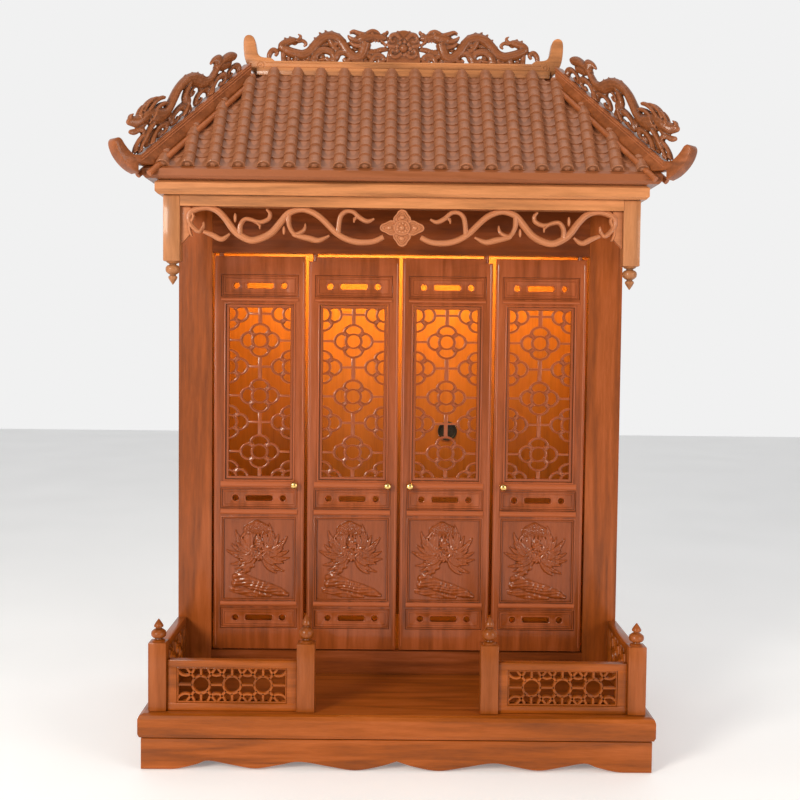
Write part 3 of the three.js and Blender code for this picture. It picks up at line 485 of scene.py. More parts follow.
def brassFinish():
    finish = Finish("brass", {"Metallic": 1.0})
    place = finish.node("TexCoord", {}, {}, "Object")
    marks = finish.node("TexNoise", {}, {"Vector": place, "Scale": 900.0, "Detail": 3.0})
    stops = [(0.3, (0.62, 0.36, 0.1)), (0.7, (0.9, 0.62, 0.24))]
    finish.feed("Base Color", finish.node("ValToRGB", {"stops": stops}, {"Fac": marks}))
    finish.feed("Roughness", marks * 0.25 + 0.12)
    return finish.material


def lampFinish():
    constants = {"Base Color": (0.95, 0.85, 0.6, 1), "Emission Strength": 6.0, "Roughness": 0.5}
    finish = Finish("lampPlastic", constants)
    place = finish.node("TexCoord", {}, {}, "Object")
    diodes = finish.node("TexWave", {}, {"Vector": place, "Scale": 40.0})
    stops = [(0.2, (1.0, 0.55, 0.16)), (0.8, (1.0, 0.75, 0.35))]
    finish.feed("Emission Color", finish.node("ValToRGB", {"stops": stops}, {"Fac": diodes}))
    return finish.material


brass = brassFinish()
lampPlastic = lampFinish()
print("finishes made")


# Boards that keep their solids: only the finish and a small rounding of the edges
boardFinishes = {
    "base_board": baseWood, "apron_left": sideApronWood, "apron_right": sideApronWood, "apron_back": baseWood,
    "side_board_left": sideWood, "side_board_right": sideWood, "back_board": insideWood,
    "floor_board": insideWood, "front_stile_left": sideWood, "front_stile_right": sideWood,
    "header": railWood, "threshold": railWood, "led_lamp": lampPlastic, "cornice_board": corniceWood,
    "eave_beam_front": corniceWood, "eave_beam_left": sideBeamWood, "eave_beam_right": sideBeamWood,
    "eave_board": eaveWood, "roof_deck": roofWood, "roof_back": roofWood,
}
for nodeName, finish in boardFinishes.items():
    solid = nodes[nodeName]
    solid.data.materials.clear()
    solid.data.materials.append(finish)
    rounded = solid.modifiers.new("edges", "BEVEL")
    rounded.width = 0.0012
    rounded.segments = 2
    rounded.limit_method = "ANGLE"
    rounded.angle_limit = math.radians(40)
print("boards finished")


def boxOf(node):
    low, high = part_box(node)
    return [value / toMetres for value in low], [value / toMetres for value in high]


# Front apron with its waved lower edge
apron = {
    "wave": [
        (1.0, 0), (0.93, 0.0), (0.86, 0.06), (0.785, 0.55), (0.735, 0.98), (0.64, 0.5), (0.553, 0.14),
        (0.46, 0.55), (0.377, 0.92), (0.26, 0.4), (0.163, 0.02), (0.07, 0.45), (0, 1.05),
    ],
    "rise": 13.0,
}


def makeApron():
    low, high = boxOf("apron_front")
    half = high[0]
    edge = smoothPath(apron["wave"], 5)
    right = [(share * half, max(0.0, rise) * apron["rise"]) for share, rise in edge]
    left = [(-x, z) for x, z in reversed(right[:-1])]
    outer = [(half, high[2]), *right, *left, (-half, high[2])]
    makePiece("apronFront", plate(outer, [], low[1], high[1], 1.0), baseWood, "root", ["apron_front"])


makeApron()

# Posts of the balustrade and the hanging posts of the cornice
post = {
    "rounding": 1.2,
    "finial": [
        (0.85, -0.02), (0.88, 0.03), (0.74, 0.07), (0.5, 0.1), (0.46, 0.14), (0.78, 0.18), (0.96, 0.25),
        (1.0, 0.34), (0.93, 0.44), (0.66, 0.52), (0.42, 0.56), (0.4, 0.6), (0.6, 0.64), (0.62, 0.7),
        (0.45, 0.8), (0.24, 0.9), (0.08, 0.975), (0.0, 1.0),
    ],
    "ball": 11.0,
    "shaft": 100.0,
    "drop": 35.0,
}


def finialAt(x, y, z, height, direction=1):
    turned = revolve([(share * post["ball"], rise * height) for share, rise in post["finial"]])
    return turned.placed(lambda px, py, pz: (x + px, y + py, z + direction * pz))


def makePost(node, piece):
    low, high = boxOf(node)
    top = low[2] + post["shaft"]
    middle = ((low[0] + high[0]) / 2, (low[1] + high[1]) / 2)
    shaft = board(low, (high[0], high[1], top), post["rounding"])
    shaft.take(finialAt(*middle, top, high[2] - top))
    makePiece(piece, shaft, postWood, "root", [node])


def makeHangingPost(node, piece):
    low, high = boxOf(node)
    bottom = low[2] + post["drop"]
    middle = ((low[0] + high[0]) / 2, (low[1] + high[1]) / 2)
    shaft = board((low[0], low[1], bottom), high, post["rounding"])
    shaft.take(finialAt(*middle, bottom, post["drop"], -1))
    makePiece(piece, shaft, hangingWood, "root", [node])


for side in ["left", "right"]:
    title = side.title()
    makePost(f"corner_post_{side}", f"cornerPost{title}")
    makePost(f"gate_post_{side}", f"gatePost{title}")
    makeHangingPost(f"hanging_post_{side}", f"hangingPost{title}")
print("posts made")

# Fretted panels between the posts, drawn about their middle
panel = {
    "rail": 11.0,
    "stile": 14.0,
    "bar": 4.4,
    "depth": 8.0,
    "ring": 12.7,
    "pitch": 45.0,
    "thickness": 14.0,
}


def fretBar(points, closed=False, steps=0):
    placed = [(x, z, panel["bar"]) for x, z in points]
    return vineBar(placed, panel["depth"], 0, steps, 8, closed, 0.5)


def frettedPanel(width, height):
    half = width / 2
    deep = panel["thickness"] / 2
    shape = board((-half, -deep, height - panel["rail"]), (half, deep, height), 1.2)
    shape.take(board((-half, -deep, 0), (half, deep, panel["rail"]), 1.0))
    for left in (-half + 0.1, half - panel["stile"]):
        low, high = (left, -deep + 0.4, 1), (left + panel["stile"] - 0.1, deep - 0.4, height - 1)
        shape.take(board(low, high, 1.0))
    field = half - panel["stile"]
    rise = height / 2 - panel["rail"]
    middle = height / 2
    rings = max(1, int(2 * field // panel["pitch"]))
    inset = panel["stile"]
    border = beadProfile(0, 2.4, 1.2)
    for y, flip in [(-deep + 3, 1), (deep - 3, -1)]:
        bead = moulding(-half + inset, half - inset, panel["rail"], height - panel["rail"], 0, border)
        shape.take(bead.placed(lambda x, py, z, y=y, flip=flip: (x, y + flip * py, z)))
    for i in range(rings):
        x = (i - (rings - 1) / 2) * panel["pitch"]
        shape.take(fretBar(oval(x, middle, panel["ring"], panel["ring"], 24), True))
        for across in (-1, 1):
            last = (across < 0 and i == 0) or (across > 0 and i == rings - 1)
            reach = field - across * x if last else panel["pitch"] / 2
            shape.take(fretBar([(x + across * panel["ring"], middle), (x + across * reach, middle)]))
            for up in (-1, 1):
                if not last or reach > panel["pitch"] / 2:
                    edge = x + across * panel["pitch"] / 2
                    slant = panel["ring"] * 0.7
                    start = (x + across * slant, middle + up * slant)
                    shape.take(fretBar([start, (edge, middle + up * rise)]))
        for up in (-1, 1):
            shape.take(fretBar([(x, middle + up * panel["ring"]), (x, middle + up * rise)]))
    for i in range(rings + 1):
        x = (i - rings / 2) * panel["pitch"]
        if abs(x) > field:
            continue
        for up in (-1, 1):
            arc = [
                (x + panel["ring"] * math.cos(turn), middle + up * (rise - panel["ring"] * math.sin(turn)))
                for turn in [math.pi * k / 10 for k in range(11)]
            ]
            shape.take(fretBar([(px, pz) for px, pz in arc if abs(px) < field]))
    return shape


def makePanels():
    for side in ["left", "right"]:
        low, high = boxOf(f"front_panel_{side}")
        shape = frettedPanel(high[0] - low[0], high[2] - low[2])
        shape = shape.moved((low[0] + high[0]) / 2, (low[1] + high[1]) / 2, low[2])
        makePiece(f"frontPanel{side.title()}", shape, baseWood, "root", [f"front_panel_{side}"])
        low, high = boxOf(f"side_panel_{side}")
        shape = frettedPanel(high[1] - low[1], high[2] - low[2]).placed(lambda x, y, z: (y, x, z))
        shape = shape.moved((low[0] + high[0]) / 2, (low[1] + high[1]) / 2, low[2])
        makePiece(f"sidePanel{side.title()}", shape, sideApronWood, "root", [f"side_panel_{side}"])


makePanels()
print("balustrade made")

# One door leaf, drawn about its own middle; heights are those of the cabinet
leaf = {
    "front": -27.5,
    "back": -11.5,
    "low": 120.0,
    "high": 752.0,
    "width": 144.04,
    "topSlots": (688.5, 723.0),
    "lattice": (395.9, 675.4),
    "middleSlots": (348.5, 380.6),
    "relief": (199.0, 333.4),
    "bottomSlots": (154.0, 186.0),
    "slotPanel": 61.5,
    "latticeHalf": 53.5,
    "reliefHalf": 58.7,
    "slot": (21.5, 4.5),
    "eye": (38.0, 5.0),
    "beads": [(681.0, 686.0), (383.0, 392.5), (339.0, 347.0), (190.0, 197.0)],
    "beadHalf": 61.5,
    "notch": (12.0, 7.0),
    "pin": 4.0,
    "pinInset": 10.0,
    "pinEnds": (108.0, 767.0),
    "centres": [-224.47, -74.82, 74.82, 224.47],
    "hinges": [-1, -1, 1, 1],
    "sunk": 3.5,
    "innerBorder": 5.0,
}


def slotHoles(name):
    low, high = leaf[name]
    middle = (low + high) / 2
    half, rise = leaf["slot"]
    cut = 2.0
    slot = [
        (-half + cut, middle - rise), (half - cut, middle - rise), (half, middle - rise + cut),
        (half, middle + rise - cut), (half - cut, middle + rise), (-half + cut, middle + rise),
        (-half, middle + rise - cut), (-half, middle - rise + cut),
    ]
    eyes = [oval(sign * leaf["eye"][0], middle, leaf["eye"][1], leaf["eye"][1], 16) for sign in (-1, 1)]
    return [slot, *eyes]


def leafFrame(number):
    hinge = leaf["hinges"][number]
    half = leaf["width"] / 2
    low, high = leaf["low"], leaf["high"]
    inner, drop = leaf["notch"]
    outer = rectangle(-half, half, low, high)
    if number in (1, 2):
        step, lower = half - inner, high - drop
        notched = [(half, low), (half, lower), (step, lower), (step, high), (-half, high), (-half, low)]
        outer = [(hinge * x, z) for x, z in notched]
    front, back = leaf["front"], leaf["back"]
    ground = front + leaf["sunk"]
    slots = ["topSlots", "middleSlots", "bottomSlots"]
    latticeHole = rectangle(-leaf["latticeHalf"], leaf["latticeHalf"], *leaf["lattice"])
    reliefHole = rectangle(-leaf["reliefHalf"], leaf["reliefHalf"], *leaf["relief"])
    recesses = [rectangle(-leaf["slotPanel"], leaf["slotPanel"], *leaf[name]) for name in slots]
    pierced = [hole for name in slots for hole in slotHoles(name)]
    shape = plate(outer, [latticeHole, reliefHole, *recesses], front, front + 5, 0.9, 2)
    shape.take(plate(outer, [latticeHole, reliefHole, *pierced], ground, back - 6, 0.5))
    shape.take(plate(outer, [latticeHole, *pierced], back - 7, back, 0.5))
    wide = leaf["slotPanel"]
    inset = leaf["innerBorder"]
    for name in slots:
        shape.take(moulding(-wide, wide, *leaf[name], ground, beadProfile(0, 2.6, 2.2)))
        low0, high0 = leaf[name][0] + inset, leaf[name][1] - inset
        shape.take(moulding(-wide + inset, wide - inset, low0, high0, ground, beadProfile(0, 1.4, 0.9)))
        middle = (leaf[name][0] + leaf[name][1]) / 2
        slotHalf, rise = leaf["slot"]
        squared = []
        for x, z in oval(0, 0, slotHalf + 2.2, rise + 2.2, 32):
            across = math.copysign(min(abs(x) * 1.12, slotHalf + 1.5), x)
            up = math.copysign(min(abs(z) * 1.3, rise + 1.4), z)
            squared.append((across, middle + up, 1.6))
        shape.take(vineBar(squared, 1.8, ground, 0, 6, True))
        reach, radius = leaf["eye"]
        for sign in (-1, 1):
            eye = [(*point, 1.5) for point in oval(sign * reach, middle, radius + 1.2, radius + 1.2, 20)]
            shape.take(vineBar(eye, 1.8, ground, 0, 6, True))
    # Bead round the lattice and a double border round the relief
    borders = [
        ("lattice", leaf["latticeHalf"], 3.4, 0, beadProfile(0, 3.2, 1.6)),
        ("relief", leaf["reliefHalf"], 0, 2.2, beadProfile(0, 2.4, 1.8)),
        ("relief", leaf["reliefHalf"], 2.4, 0, beadProfile(0, 1.6, 0.8)),
    ]
    for name, wide, out, sunk, profile in borders:
        bottom, top = leaf[name]
        shape.take(moulding(-wide - out, wide + out, bottom - out, top + out, front + sunk, profile))
    for z0, z1 in leaf["beads"]:
        z = (z0 + z1) / 2
        bead = vineBar([(-leaf["beadHalf"], z, z1 - z0), (leaf["beadHalf"], z, z1 - z0)], 4.4, front, 0, 12)
        shape.take(bead)
    # Long grooved edge lines on the stiles
    for sign in (-1, 1):
        x = sign * (half - 3.2)
        shape.take(vineBar([(x, low + 6, 1.6), (x, high - 9, 1.6)], 1.2, front, 0, 6))
    pinX = hinge * (half - leaf["pinInset"])
    pinY = (front + back) / 2
    rootTop = high - (drop if number in (1, 2) else 0)
    for z0, z1 in [(leaf["pinEnds"][0], low + 1), (rootTop - 1, leaf["pinEnds"][1])]:
        shape.take(revolve([(0, z0), (leaf["pin"], z0), (leaf["pin"], z1), (0, z1)], 16).moved(pinX, pinY))
    return shape


# Lattice of flowers joined by bars, in the opening of a leaf
lattice = {
    "halfX": 31.5,
    "halfZ": 27.25,
    "full": [618.5, 529.9, 439.8],
    "halves": [661.0, 576.6, 487.4, 398.5],
    "front": -25.6,
    "back": -18.4,
    "post": 6.0,
    "bar": 3.5,
    "rim": 3.6,
    "lobeCentre": 0.48,
    "lobeRadius": 0.54,
    "wall": 0.13,
    "ringOut": 0.46,
    "openingTurn": 33.0,
}


# Outline of four round lobes, as shares of the flower's half width and half height
def lobeReach(turn, wall):
    away = (turn + math.pi / 4) % (math.pi / 2) - math.pi / 4
    centre = lattice["lobeCentre"]
    radius = lattice["lobeRadius"] - wall
    return centre * math.cos(away) + math.sqrt(radius ** 2 - (centre * math.sin(away)) ** 2)


def flowerPoint(reach, turn):
    return (reach * lattice["halfX"] * math.cos(turn), reach * lattice["halfZ"] * math.sin(turn))


def lobedLoop(wall, count=64):
    turns = [2 * math.pi * k / count for k in range(count)]
    return [flowerPoint(lobeReach(turn, wall), turn) for turn in turns]


def petalHole(quarter, count=10):
    middle = quarter * math.pi / 2
    spread = math.radians(lattice["openingTurn"])
    turns = [middle + spread * (2 * k / (count - 1) - 1) for k in range(count)]
    outer = [flowerPoint(lobeReach(turn, lattice["wall"]), turn) for turn in turns]
    inner = [flowerPoint(lattice["ringOut"], turn) for turn in reversed(turns)]
    return outer + inner


def latticeFlower():
    holes = [petalHole(quarter) for quarter in range(4)]
    eye = oval(0, 0, 0.33 * lattice["halfX"], 0.36 * lattice["halfZ"], 18)
    front, back = lattice["front"], lattice["back"]
    shape = plate(lobedLoop(0), [*holes, eye], front + 0.9, back, 1.1, 1)
    rim = [(*point, 2.4) for point in lobedLoop(0.06)]
    shape.take(vineBar(rim, 3.0, front + 1.3, 0, 6, True))
    inner = [(*point, 2.2) for point in oval(0, 0, 0.37 * lattice["halfX"], 0.4 * lattice["halfZ"], 24)]
    shape.take(vineBar(inner, 3.0, front + 1.2, 0, 6, True))
    for quarter in range(4):
        turn = math.pi / 4 + quarter * math.pi / 2
        for offset in (-0.13, 0.13):
            x, z = math.cos(turn + offset), math.sin(turn + offset)
            at = (0.47 * lattice["halfX"] * x, front + 1.2, 0.5 * lattice["halfZ"] * z)
            shape.take(ball(at, (1.9, 1.4, 1.9), 8, 5))
        x, z = lattice["halfX"] * math.cos(turn), lattice["halfZ"] * math.sin(turn)
        shape.take(vineBar([(0.5 * x, 0.52 * z, 4.6), (0.7 * x, 0.7 * z, 3.0)], 2.4, front + 1.2, 0, 6))
    return shape


def leafLattice():
    flower = latticeFlower()
    inside = leaf["latticeHalf"] - 0.4
    low, high = leaf["lattice"]
    front, back = lattice["front"], lattice["back"]
    thick = (back - front) / 2
    rim = lattice["rim"]
    profile = [(0, -thick), (0, thick), (rim, thick), (rim + 0.6, thick - 1), (rim + 0.6, -thick)]
    shape = moulding(-inside, inside, low + 0.4, high - 0.4, front + thick, profile)

    def crossBar(left, right, z):
        half = lattice["bar"] / 2
        return board((left, front + 1.6, z - half), (right, back - 0.8, z + half), 0.8)

    edges = [low + 1]
    for z in sorted(lattice["full"]):
        edges += [z - 0.93 * lattice["halfZ"], z + 0.93 * lattice["halfZ"]]
    edges.append(high - 1)
    half = lattice["post"] / 2
    for z0, z1 in zip(edges[::2], edges[1::2]):
        shape.take(board((-half, front + 1.4, z0), (half, back - 0.6, z1), 0.9))
    for z in lattice["full"]:
        shape.take(flower.moved(0, 0, z))
        for sign in (-1, 1):
            shape.take(crossBar(*sorted([sign * 0.95 * lattice["halfX"], sign * (inside - 2)]), z))
    for z in lattice["halves"]:
        for sign in (-1, 1):
            cut = flower.moved(sign * (inside - rim), 0, z)
            cut = cut.cutBy((sign * (inside - 1.5), 0, 0), (sign, 0, 0))
            if z - lattice["halfZ"] < low + 2:
                cut = cut.cutBy((0, 0, low + 1.5), (0, 0, -1))
            if z + lattice["halfZ"] > high - 2:
                cut = cut.cutBy((0, 0, high - 1.5), (0, 0, 1))
            shape.take(cut)
        if z > low + lattice["halfZ"]:
            reach = inside - rim - 0.95 * lattice["halfX"]
            shape.take(crossBar(-reach, reach, z))
    return shape


# Carved relief: a flowering bush on a rock, as heights over a fine grid
relief = {
    "board": -23.5,
    "back": -19.2,
    "half": 57.6,
    "low": 200.2,
    "high": 332.2,
    "cell": 0.95,
    "depth": 4.6,
}


def strokeHeight(gridX, gridZ, points, widths, height, ridge=0.0):
    result = np.zeros_like(gridX)
    for (x0, z0), (x1, z1), w0, w1 in zip(points, points[1:], widths, widths[1:]):
        dx, dz = x1 - x0, z1 - z0
        t = np.clip(((gridX - x0) * dx + (gridZ - z0) * dz) / (dx * dx + dz * dz + 1e-9), 0, 1)
        away = np.hypot(gridX - x0 - t * dx, gridZ - z0 - t * dz)
        width = w0 + (w1 - w0) * t
        share = np.clip(1 - (away / width) ** 2, 0, 1)
        dome = height * np.sqrt(share)
        if ridge:
            dome = dome - ridge * np.exp(-((away / (0.22 * width)) ** 2)) * (share > 0)
        result = np.maximum(result, dome)
    return result


def curvedPetal(at, reach, degrees, bend):
    turn = math.radians(degrees)
    points = []
    for step in range(7):
        t = step / 6
        angle = turn + math.radians(bend) * (t - 0.5)
        r = reach * t
        points.append((at[0] + r * math.cos(angle), at[1] + r * math.sin(angle)))
    return points


def bushHeights(gridX, gridZ):
    height = np.zeros_like(gridX)

    def add(points, widths, rise, ridge=0.0):
        np.maximum(height, strokeHeight(gridX, gridZ, points, widths, rise, ridge), out=height)

    # Rock along the foot with a knob at its upper left
    add([(-38, -40), (-26, -34), (-8, -42), (14, -48), (34, -54), (46, -58)], [6, 10, 9.5, 9, 7, 3], 3.4)
    add([(-44, -50), (-14, -56), (18, -60)], [4, 6, 3], 1.8)
    add([(-38, -30), (-31, -27), (-27, -22)], [5, 6, 4], 3.2)
    folds = np.sin(0.3 * gridX + 0.5 * gridZ + 2.0 * np.sin(0.13 * gridX))
    cracks = np.sin(0.24 * gridX - 0.6 * gridZ + 1.6 * np.sin(0.21 * gridZ))
    height += 0.8 * folds * cracks * (height > 0.4)
    # Stem with its knots
    add([(-4, 2), (-12, -10), (-20, -18), (-28, -26)], [2.6, 3.0, 3.6, 4.2], 2.2)
    for x, z in [(-12, -11), (-19, -18), (-24, -14)]:
        add([(x, z), (x + 1, z)], [4.2, 4.2], 2.8)
    # Slender leaves fanning out on both sides, in two layers
    for layer, (spread, reach, rise) in enumerate([(15.0, 39.0, 2.6), (19.0, 30.0, 3.6)]):
        for sign in (-1, 1):
            for k in range(11 if layer == 0 else 8):
                degrees = 90 + sign * (14 + spread * k + 7 * layer)
                long = reach + 7 * math.sin(2.3 * k + sign + layer)
                drop = 0.024 * k * k
                points = curvedPetal((sign * -7, 12 - drop), long, degrees, sign * -34)
                add(points, [1.0, 2.6, 4.0, 4.6, 4.0, 2.6, 0.8], rise, 1.3)
    # Mound that joins the leaves, then blossoms in the middle
    add([(-8, 10), (8, 10)], [13, 13], 2.4)
    add([(0, 16), (0, 30)], [11, 7], 2.4)
    for x, z, size, turnBy in [(-12, 14, 9.0, 0.2), (12, 15, 9.5, 0.6), (0, 5, 7.5, 0.0), (1, 24, 7.0, 0.4)]:
        for k in range(7):
            turn = 2 * math.pi * k / 7 + turnBy
            tip = (x + size * math.cos(turn), z + size * math.sin(turn))
            side = (x + 0.6 * size * math.cos(turn + 0.3), z + 0.6 * size * math.sin(turn + 0.3))
            add([(x, z), side, tip], [3.0, 2.8, 1.4], 4.4, 0.4)
        add([(x, z), (x + 0.5, z)], [2.8, 2.8], 4.9)
    # Stippled dome flower at the top, with a fringe below it
    dome = strokeHeight(gridX, gridZ, [(-16, 47), (-4, 51), (10, 47)], [9, 11.5, 9], 4.2)
    stipple = 0.9 * np.sin(1.9 * gridX + 0.4 * np.sin(gridZ)) * np.sin(1.9 * gridZ)
    np.maximum(height, dome + stipple * (dome > 0.8), out=height)
    for k in range(8):
        x = -26 + 6.4 * k
        add([(x * 0.8 - 1, 42), (x - 1, 36)], [2.6, 1.6], 2.6, 0.4)
    return np.clip(height, 0, relief["depth"] + 0.5)


def leafRelief():
    half, low, high = relief["half"], relief["low"], relief["high"]
    columns = int(2 * half / relief["cell"])
    rows = int((high - low) / relief["cell"])
    xs = np.linspace(-half, half, columns + 1)
    zs = np.linspace(low, high, rows + 1)
    gridX, gridZ = np.meshgrid(xs, zs)
    heights = bushHeights(gridX, gridZ - (low + high) / 2)
    ground = 0.12 * np.sin(gridX * 1.7) * np.sin(gridZ * 1.9 + gridX * 0.3)
    surface = relief["board"] - heights + ground * (heights < 0.1)
    border = (np.abs(gridX) > half - 1) | (gridZ < low + 1) | (gridZ > high - 1)
    surface = np.where(border, relief["board"], surface)
    points = list(zip(gridX.ravel().tolist(), surface.ravel().tolist(), gridZ.ravel().tolist()))
    wide = columns + 1
    faces = [
        (r * wide + c, r * wide + c + 1, (r + 1) * wide + c + 1, (r + 1) * wide + c)
        for r in range(rows)
        for c in range(columns)
    ]
    rim = list(range(wide))
    rim += [r * wide + columns for r in range(1, rows + 1)]
    rim += [rows * wide + c for c in range(columns - 1, -1, -1)]
    rim += [r * wide for r in range(rows - 1, 0, -1)]
    first = len(points)
    points += [(points[i][0], relief["back"], points[i][2]) for i in rim]
    count = len(rim)
    for k in range(count):
        after = (k + 1) % count
        faces.append((rim[k], rim[after], first + after, first + k))
    faces.append(tuple(first + k for k in range(count)))
    return Shape(points, faces)


knob = {
    "radius": 6.0,
    "reach": 13.0,
    "inset": 15.0,
    "height": 387.0,
    "profile": [
        (0, 0), (0.8, 0), (0.82, 0.08), (0.55, 0.14), (0.42, 0.25), (0.42, 0.4), (0.7, 0.48), (0.95, 0.58),
        (1.0, 0.7), (0.92, 0.84), (0.66, 0.95), (0.3, 0.995), (0, 1.0),
    ],
}


def leafKnob(number):
    turned = revolve([(share * knob["radius"], rise * knob["reach"]) for share, rise in knob["profile"]], 28)
    x = -leaf["hinges"][number] * (leaf["width"] / 2 - knob["inset"])
    return turned.placed(lambda px, py, pz: (px + x, leaf["front"] - 0.3 - pz, knob["height"] + py))


def makeLeaves():
    fretwork = leafLattice()
    carved = leafRelief()
    for number in range(4):
        centre = leaf["centres"][number]
        name = f"leaf_{number + 1}"
        parts = [
            ("Frame", "frame", leafFrame(number), doorWood, "door"),
            ("Lattice", "lattice", fretwork, latticeWood, "door"),
            ("Relief", "relief", carved, reliefWood, "door"),
            ("Knob", "knob", leafKnob(number), brass, "brass"),
        ]
        for title, node, shape, finish, slot in parts:
            piece = f"leaf{number + 1}{title}"
            makePiece(piece, shape.moved(centre), finish, name, [f"{name}_{node}"])


makeLeaves()
print("doors made")

# Dark cover in the hole for the lamp's cable, shaped as a rubber grommet: painted shade, a near-black piece put
# where the hole is only in shadow
holeShade = {"at": (90.0, 457.0), "radius": 17.6, "front": 226.0}


def makeHoleShadeCover():
    finish = Finish("holeShadeDark", {"Specular IOR Level": 0.3})
    place = finish.node("TexCoord", {}, {}, "Object")
    shadeMottle = finish.node("TexNoise", {}, {"Vector": place, "Scale": 300.0, "Detail": 3.0})
    # Near-black colour of the cover with a faint mottle: painted shade of the hole
    stops = [(0.3, (0.008, 0.008, 0.009)), (0.8, (0.03, 0.028, 0.026))]
    finish.feed("Base Color", finish.node("ValToRGB", {"stops": stops}, {"Fac": shadeMottle}))
    finish.feed("Roughness", shadeMottle * 0.2 + 0.5)
    radius = holeShade["radius"]
    bowl = [(0, 4), (radius - 4, 4), (radius - 2, 0), (radius - 0.6, 0)]
    profile = [*bowl, (radius, 1.2), (radius, 11), (0, 11)]
    x, z = holeShade["at"]
    turned = revolve(profile, 32).placed(lambda px, py, pz: (x + px, holeShade["front"] + pz, z + py))
    for k in range(4):
        turn = math.pi * k / 4
        dx, dz = 0.7 * radius * math.cos(turn), 0.7 * radius * math.sin(turn)
        rib = vineBar([(x - dx, z - dz, 1.4), (x + dx, z + dz, 1.4)], 1.4, holeShade["front"] + 4, 0, 6)
        turned.take(rib)
    makePiece("holeShadeCover", turned, finish.material, "root")


makeHoleShadeCover()

# Scroll frieze under the eave beam; points are distance from the middle, height
frieze = {
    "y": -131.5,
    "thickness": 10.0,
    "vine": [
        (297, 789, 3), (304, 780, 5), (316, 790, 6), (319, 803, 6.5), (311, 812, 7), (294, 816, 7),
        (278, 812, 7.5), (265, 800, 7.5), (254, 785, 8), (243, 775, 8), (227, 768, 8), (211, 771, 8),
        (195, 780, 8), (182, 795, 8), (171, 808, 7.5), (157, 814, 7), (144, 814, 7), (128, 807, 7),
        (114, 795, 7), (101, 782, 7), (85, 772, 7), (66, 767, 7), (44, 768, 6.5), (28, 775, 6),
    ],
    "tendrils": [
        [(243, 776, 7), (242, 790, 5.5), (235, 799, 5), (222, 797, 4.5), (213, 790, 3)],
        [(222, 797, 4), (211, 795, 5), (200, 800, 5), (198, 808, 4.5), (203, 814, 2.5)],
        [(171, 807, 7), (169, 790, 5.5), (161, 778, 5), (149, 782, 4.5), (145, 789, 3)],
        [(163, 778, 4), (160, 776, 5), (141, 772, 7), (125, 769, 6), (109, 776, 2.5)],
        [(297, 780, 4), (284, 775, 6), (270, 769, 6), (258, 777, 2.5)],
        [
            (96, 780, 6), (93, 803, 5.5), (85, 812, 5), (74, 812, 5), (63, 803, 5.5), (52, 798, 5),
            (42, 802, 2.5),
        ],
        [(74, 812, 4), (68, 806, 4), (72, 800, 2.5)],
    ],
    "thorns": [
        (250, 801, 5.5), (177, 783, 5.0), (213, 789, 4.0), (145, 789, 4.0), (297, 789, 4.5), (72, 800, 3.6),
    ],
    "middle": 788.5,
    "petal": 10.8,
    "petalX": 19.0,
    "petalZ": 15.6,
    "swell": 1.36,
    "scroll": [(12, 6, 6), (18, 14, 5), (12, 30, 5), (16, 44, 3)],
}


def makeFrieze():
    low, high = boxOf("scroll_frieze")
    shape = Shape()
    for sign in (-1, 1):
        for drawn in [frieze["vine"], *frieze["tendrils"]]:
            points = [(x, z, frieze["swell"] * width) for x, z, width in drawn]
            bar = vineBar(points, frieze["thickness"], frieze["y"], 5, 10, False, 0.85, 7.0)
            crest = [(x, z, width * 0.34) for x, z, width in points]
            bar.take(vineBar(crest, 3.0, frieze["y"] - frieze["thickness"] / 2 + 0.3, 5, 6, False, 1.0, 2.4))
            shape.take(bar.mirrored(sign))
        for x, z, size in frieze["thorns"]:
            shape.take(ball((sign * x, frieze["y"] - 1, z), (0.45 * size, 3.4, 1.3 * size), 12, 7))
        wide, top, thick = high[0], high[2], 14.5
        bracket = [(wide, top), (wide - thick, top), (wide - thick, low[2] + thick), (wide, low[2])]
        shape.take(plate(bracket, [], low[1] + 7, low[1] + 18.5, 1.0).mirrored(sign))
        scroll = [(wide - x, top - z, width) for x, z, width in frieze["scroll"]]
        shape.take(vineBar(scroll, 9, frieze["y"], 5, 8, False, 0.85).mirrored(sign))
    shape.take(rosette())
    makePiece("scrollFrieze", shape, friezeWood, "root", ["scroll_frieze"])


def rosette():
    y, middle = frieze["y"], frieze["middle"]
    shape = Shape()
    for quarter in range(4):
        turn = quarter * math.pi / 2
        x, z = frieze["petalX"] * math.cos(turn), middle + frieze["petalZ"] * math.sin(turn)
        loop = []
        for k in range(40):
            angle = 2 * math.pi * k / 40
            r = frieze["petal"] * (1 + 0.17 * math.cos(3 * (angle - turn)))
            loop.append((1.15 * r * math.cos(angle), 0.95 * r * math.sin(angle)))
        shape.take(plate([(x + px, z + pz) for px, pz in loop], [], y - 4, y + 4, 1.0))
        for share, width in [(0.92, 2.4), (0.6, 1.6)]:
            rim = [(x + share * px, z + share * pz, width) for px, pz in loop]
            shape.take(vineBar(rim, 3.0, y - 4.2, 0, 6, True))
        shape.take(ball((x, y - 4.2, z), (4.2, 3.0, 3.4), 12, 7))
    shape.take(plate(oval(0, middle, 12.5, 12, 28), [], y - 6.5, y + 2, 1.4))
    rim = [(*point, 2.2) for point in oval(0, middle, 11, 10.6, 28)]
    shape.take(vineBar(rim, 2.6, y - 6.4, 0, 6, True))
    for k in range(9):
        turn = 2 * math.pi * k / 9
        at = (6.8 * math.cos(turn), y - 6.6, middle + 6.8 * math.sin(turn))
        shape.take(ball(at, (2.1, 1.8, 2.1), 8, 5))
    shape.take(ball((0, y - 6.4, middle), (4.2, 3.4, 4.2), 14, 8))
    return shape


makeFrieze()
print("frieze made")

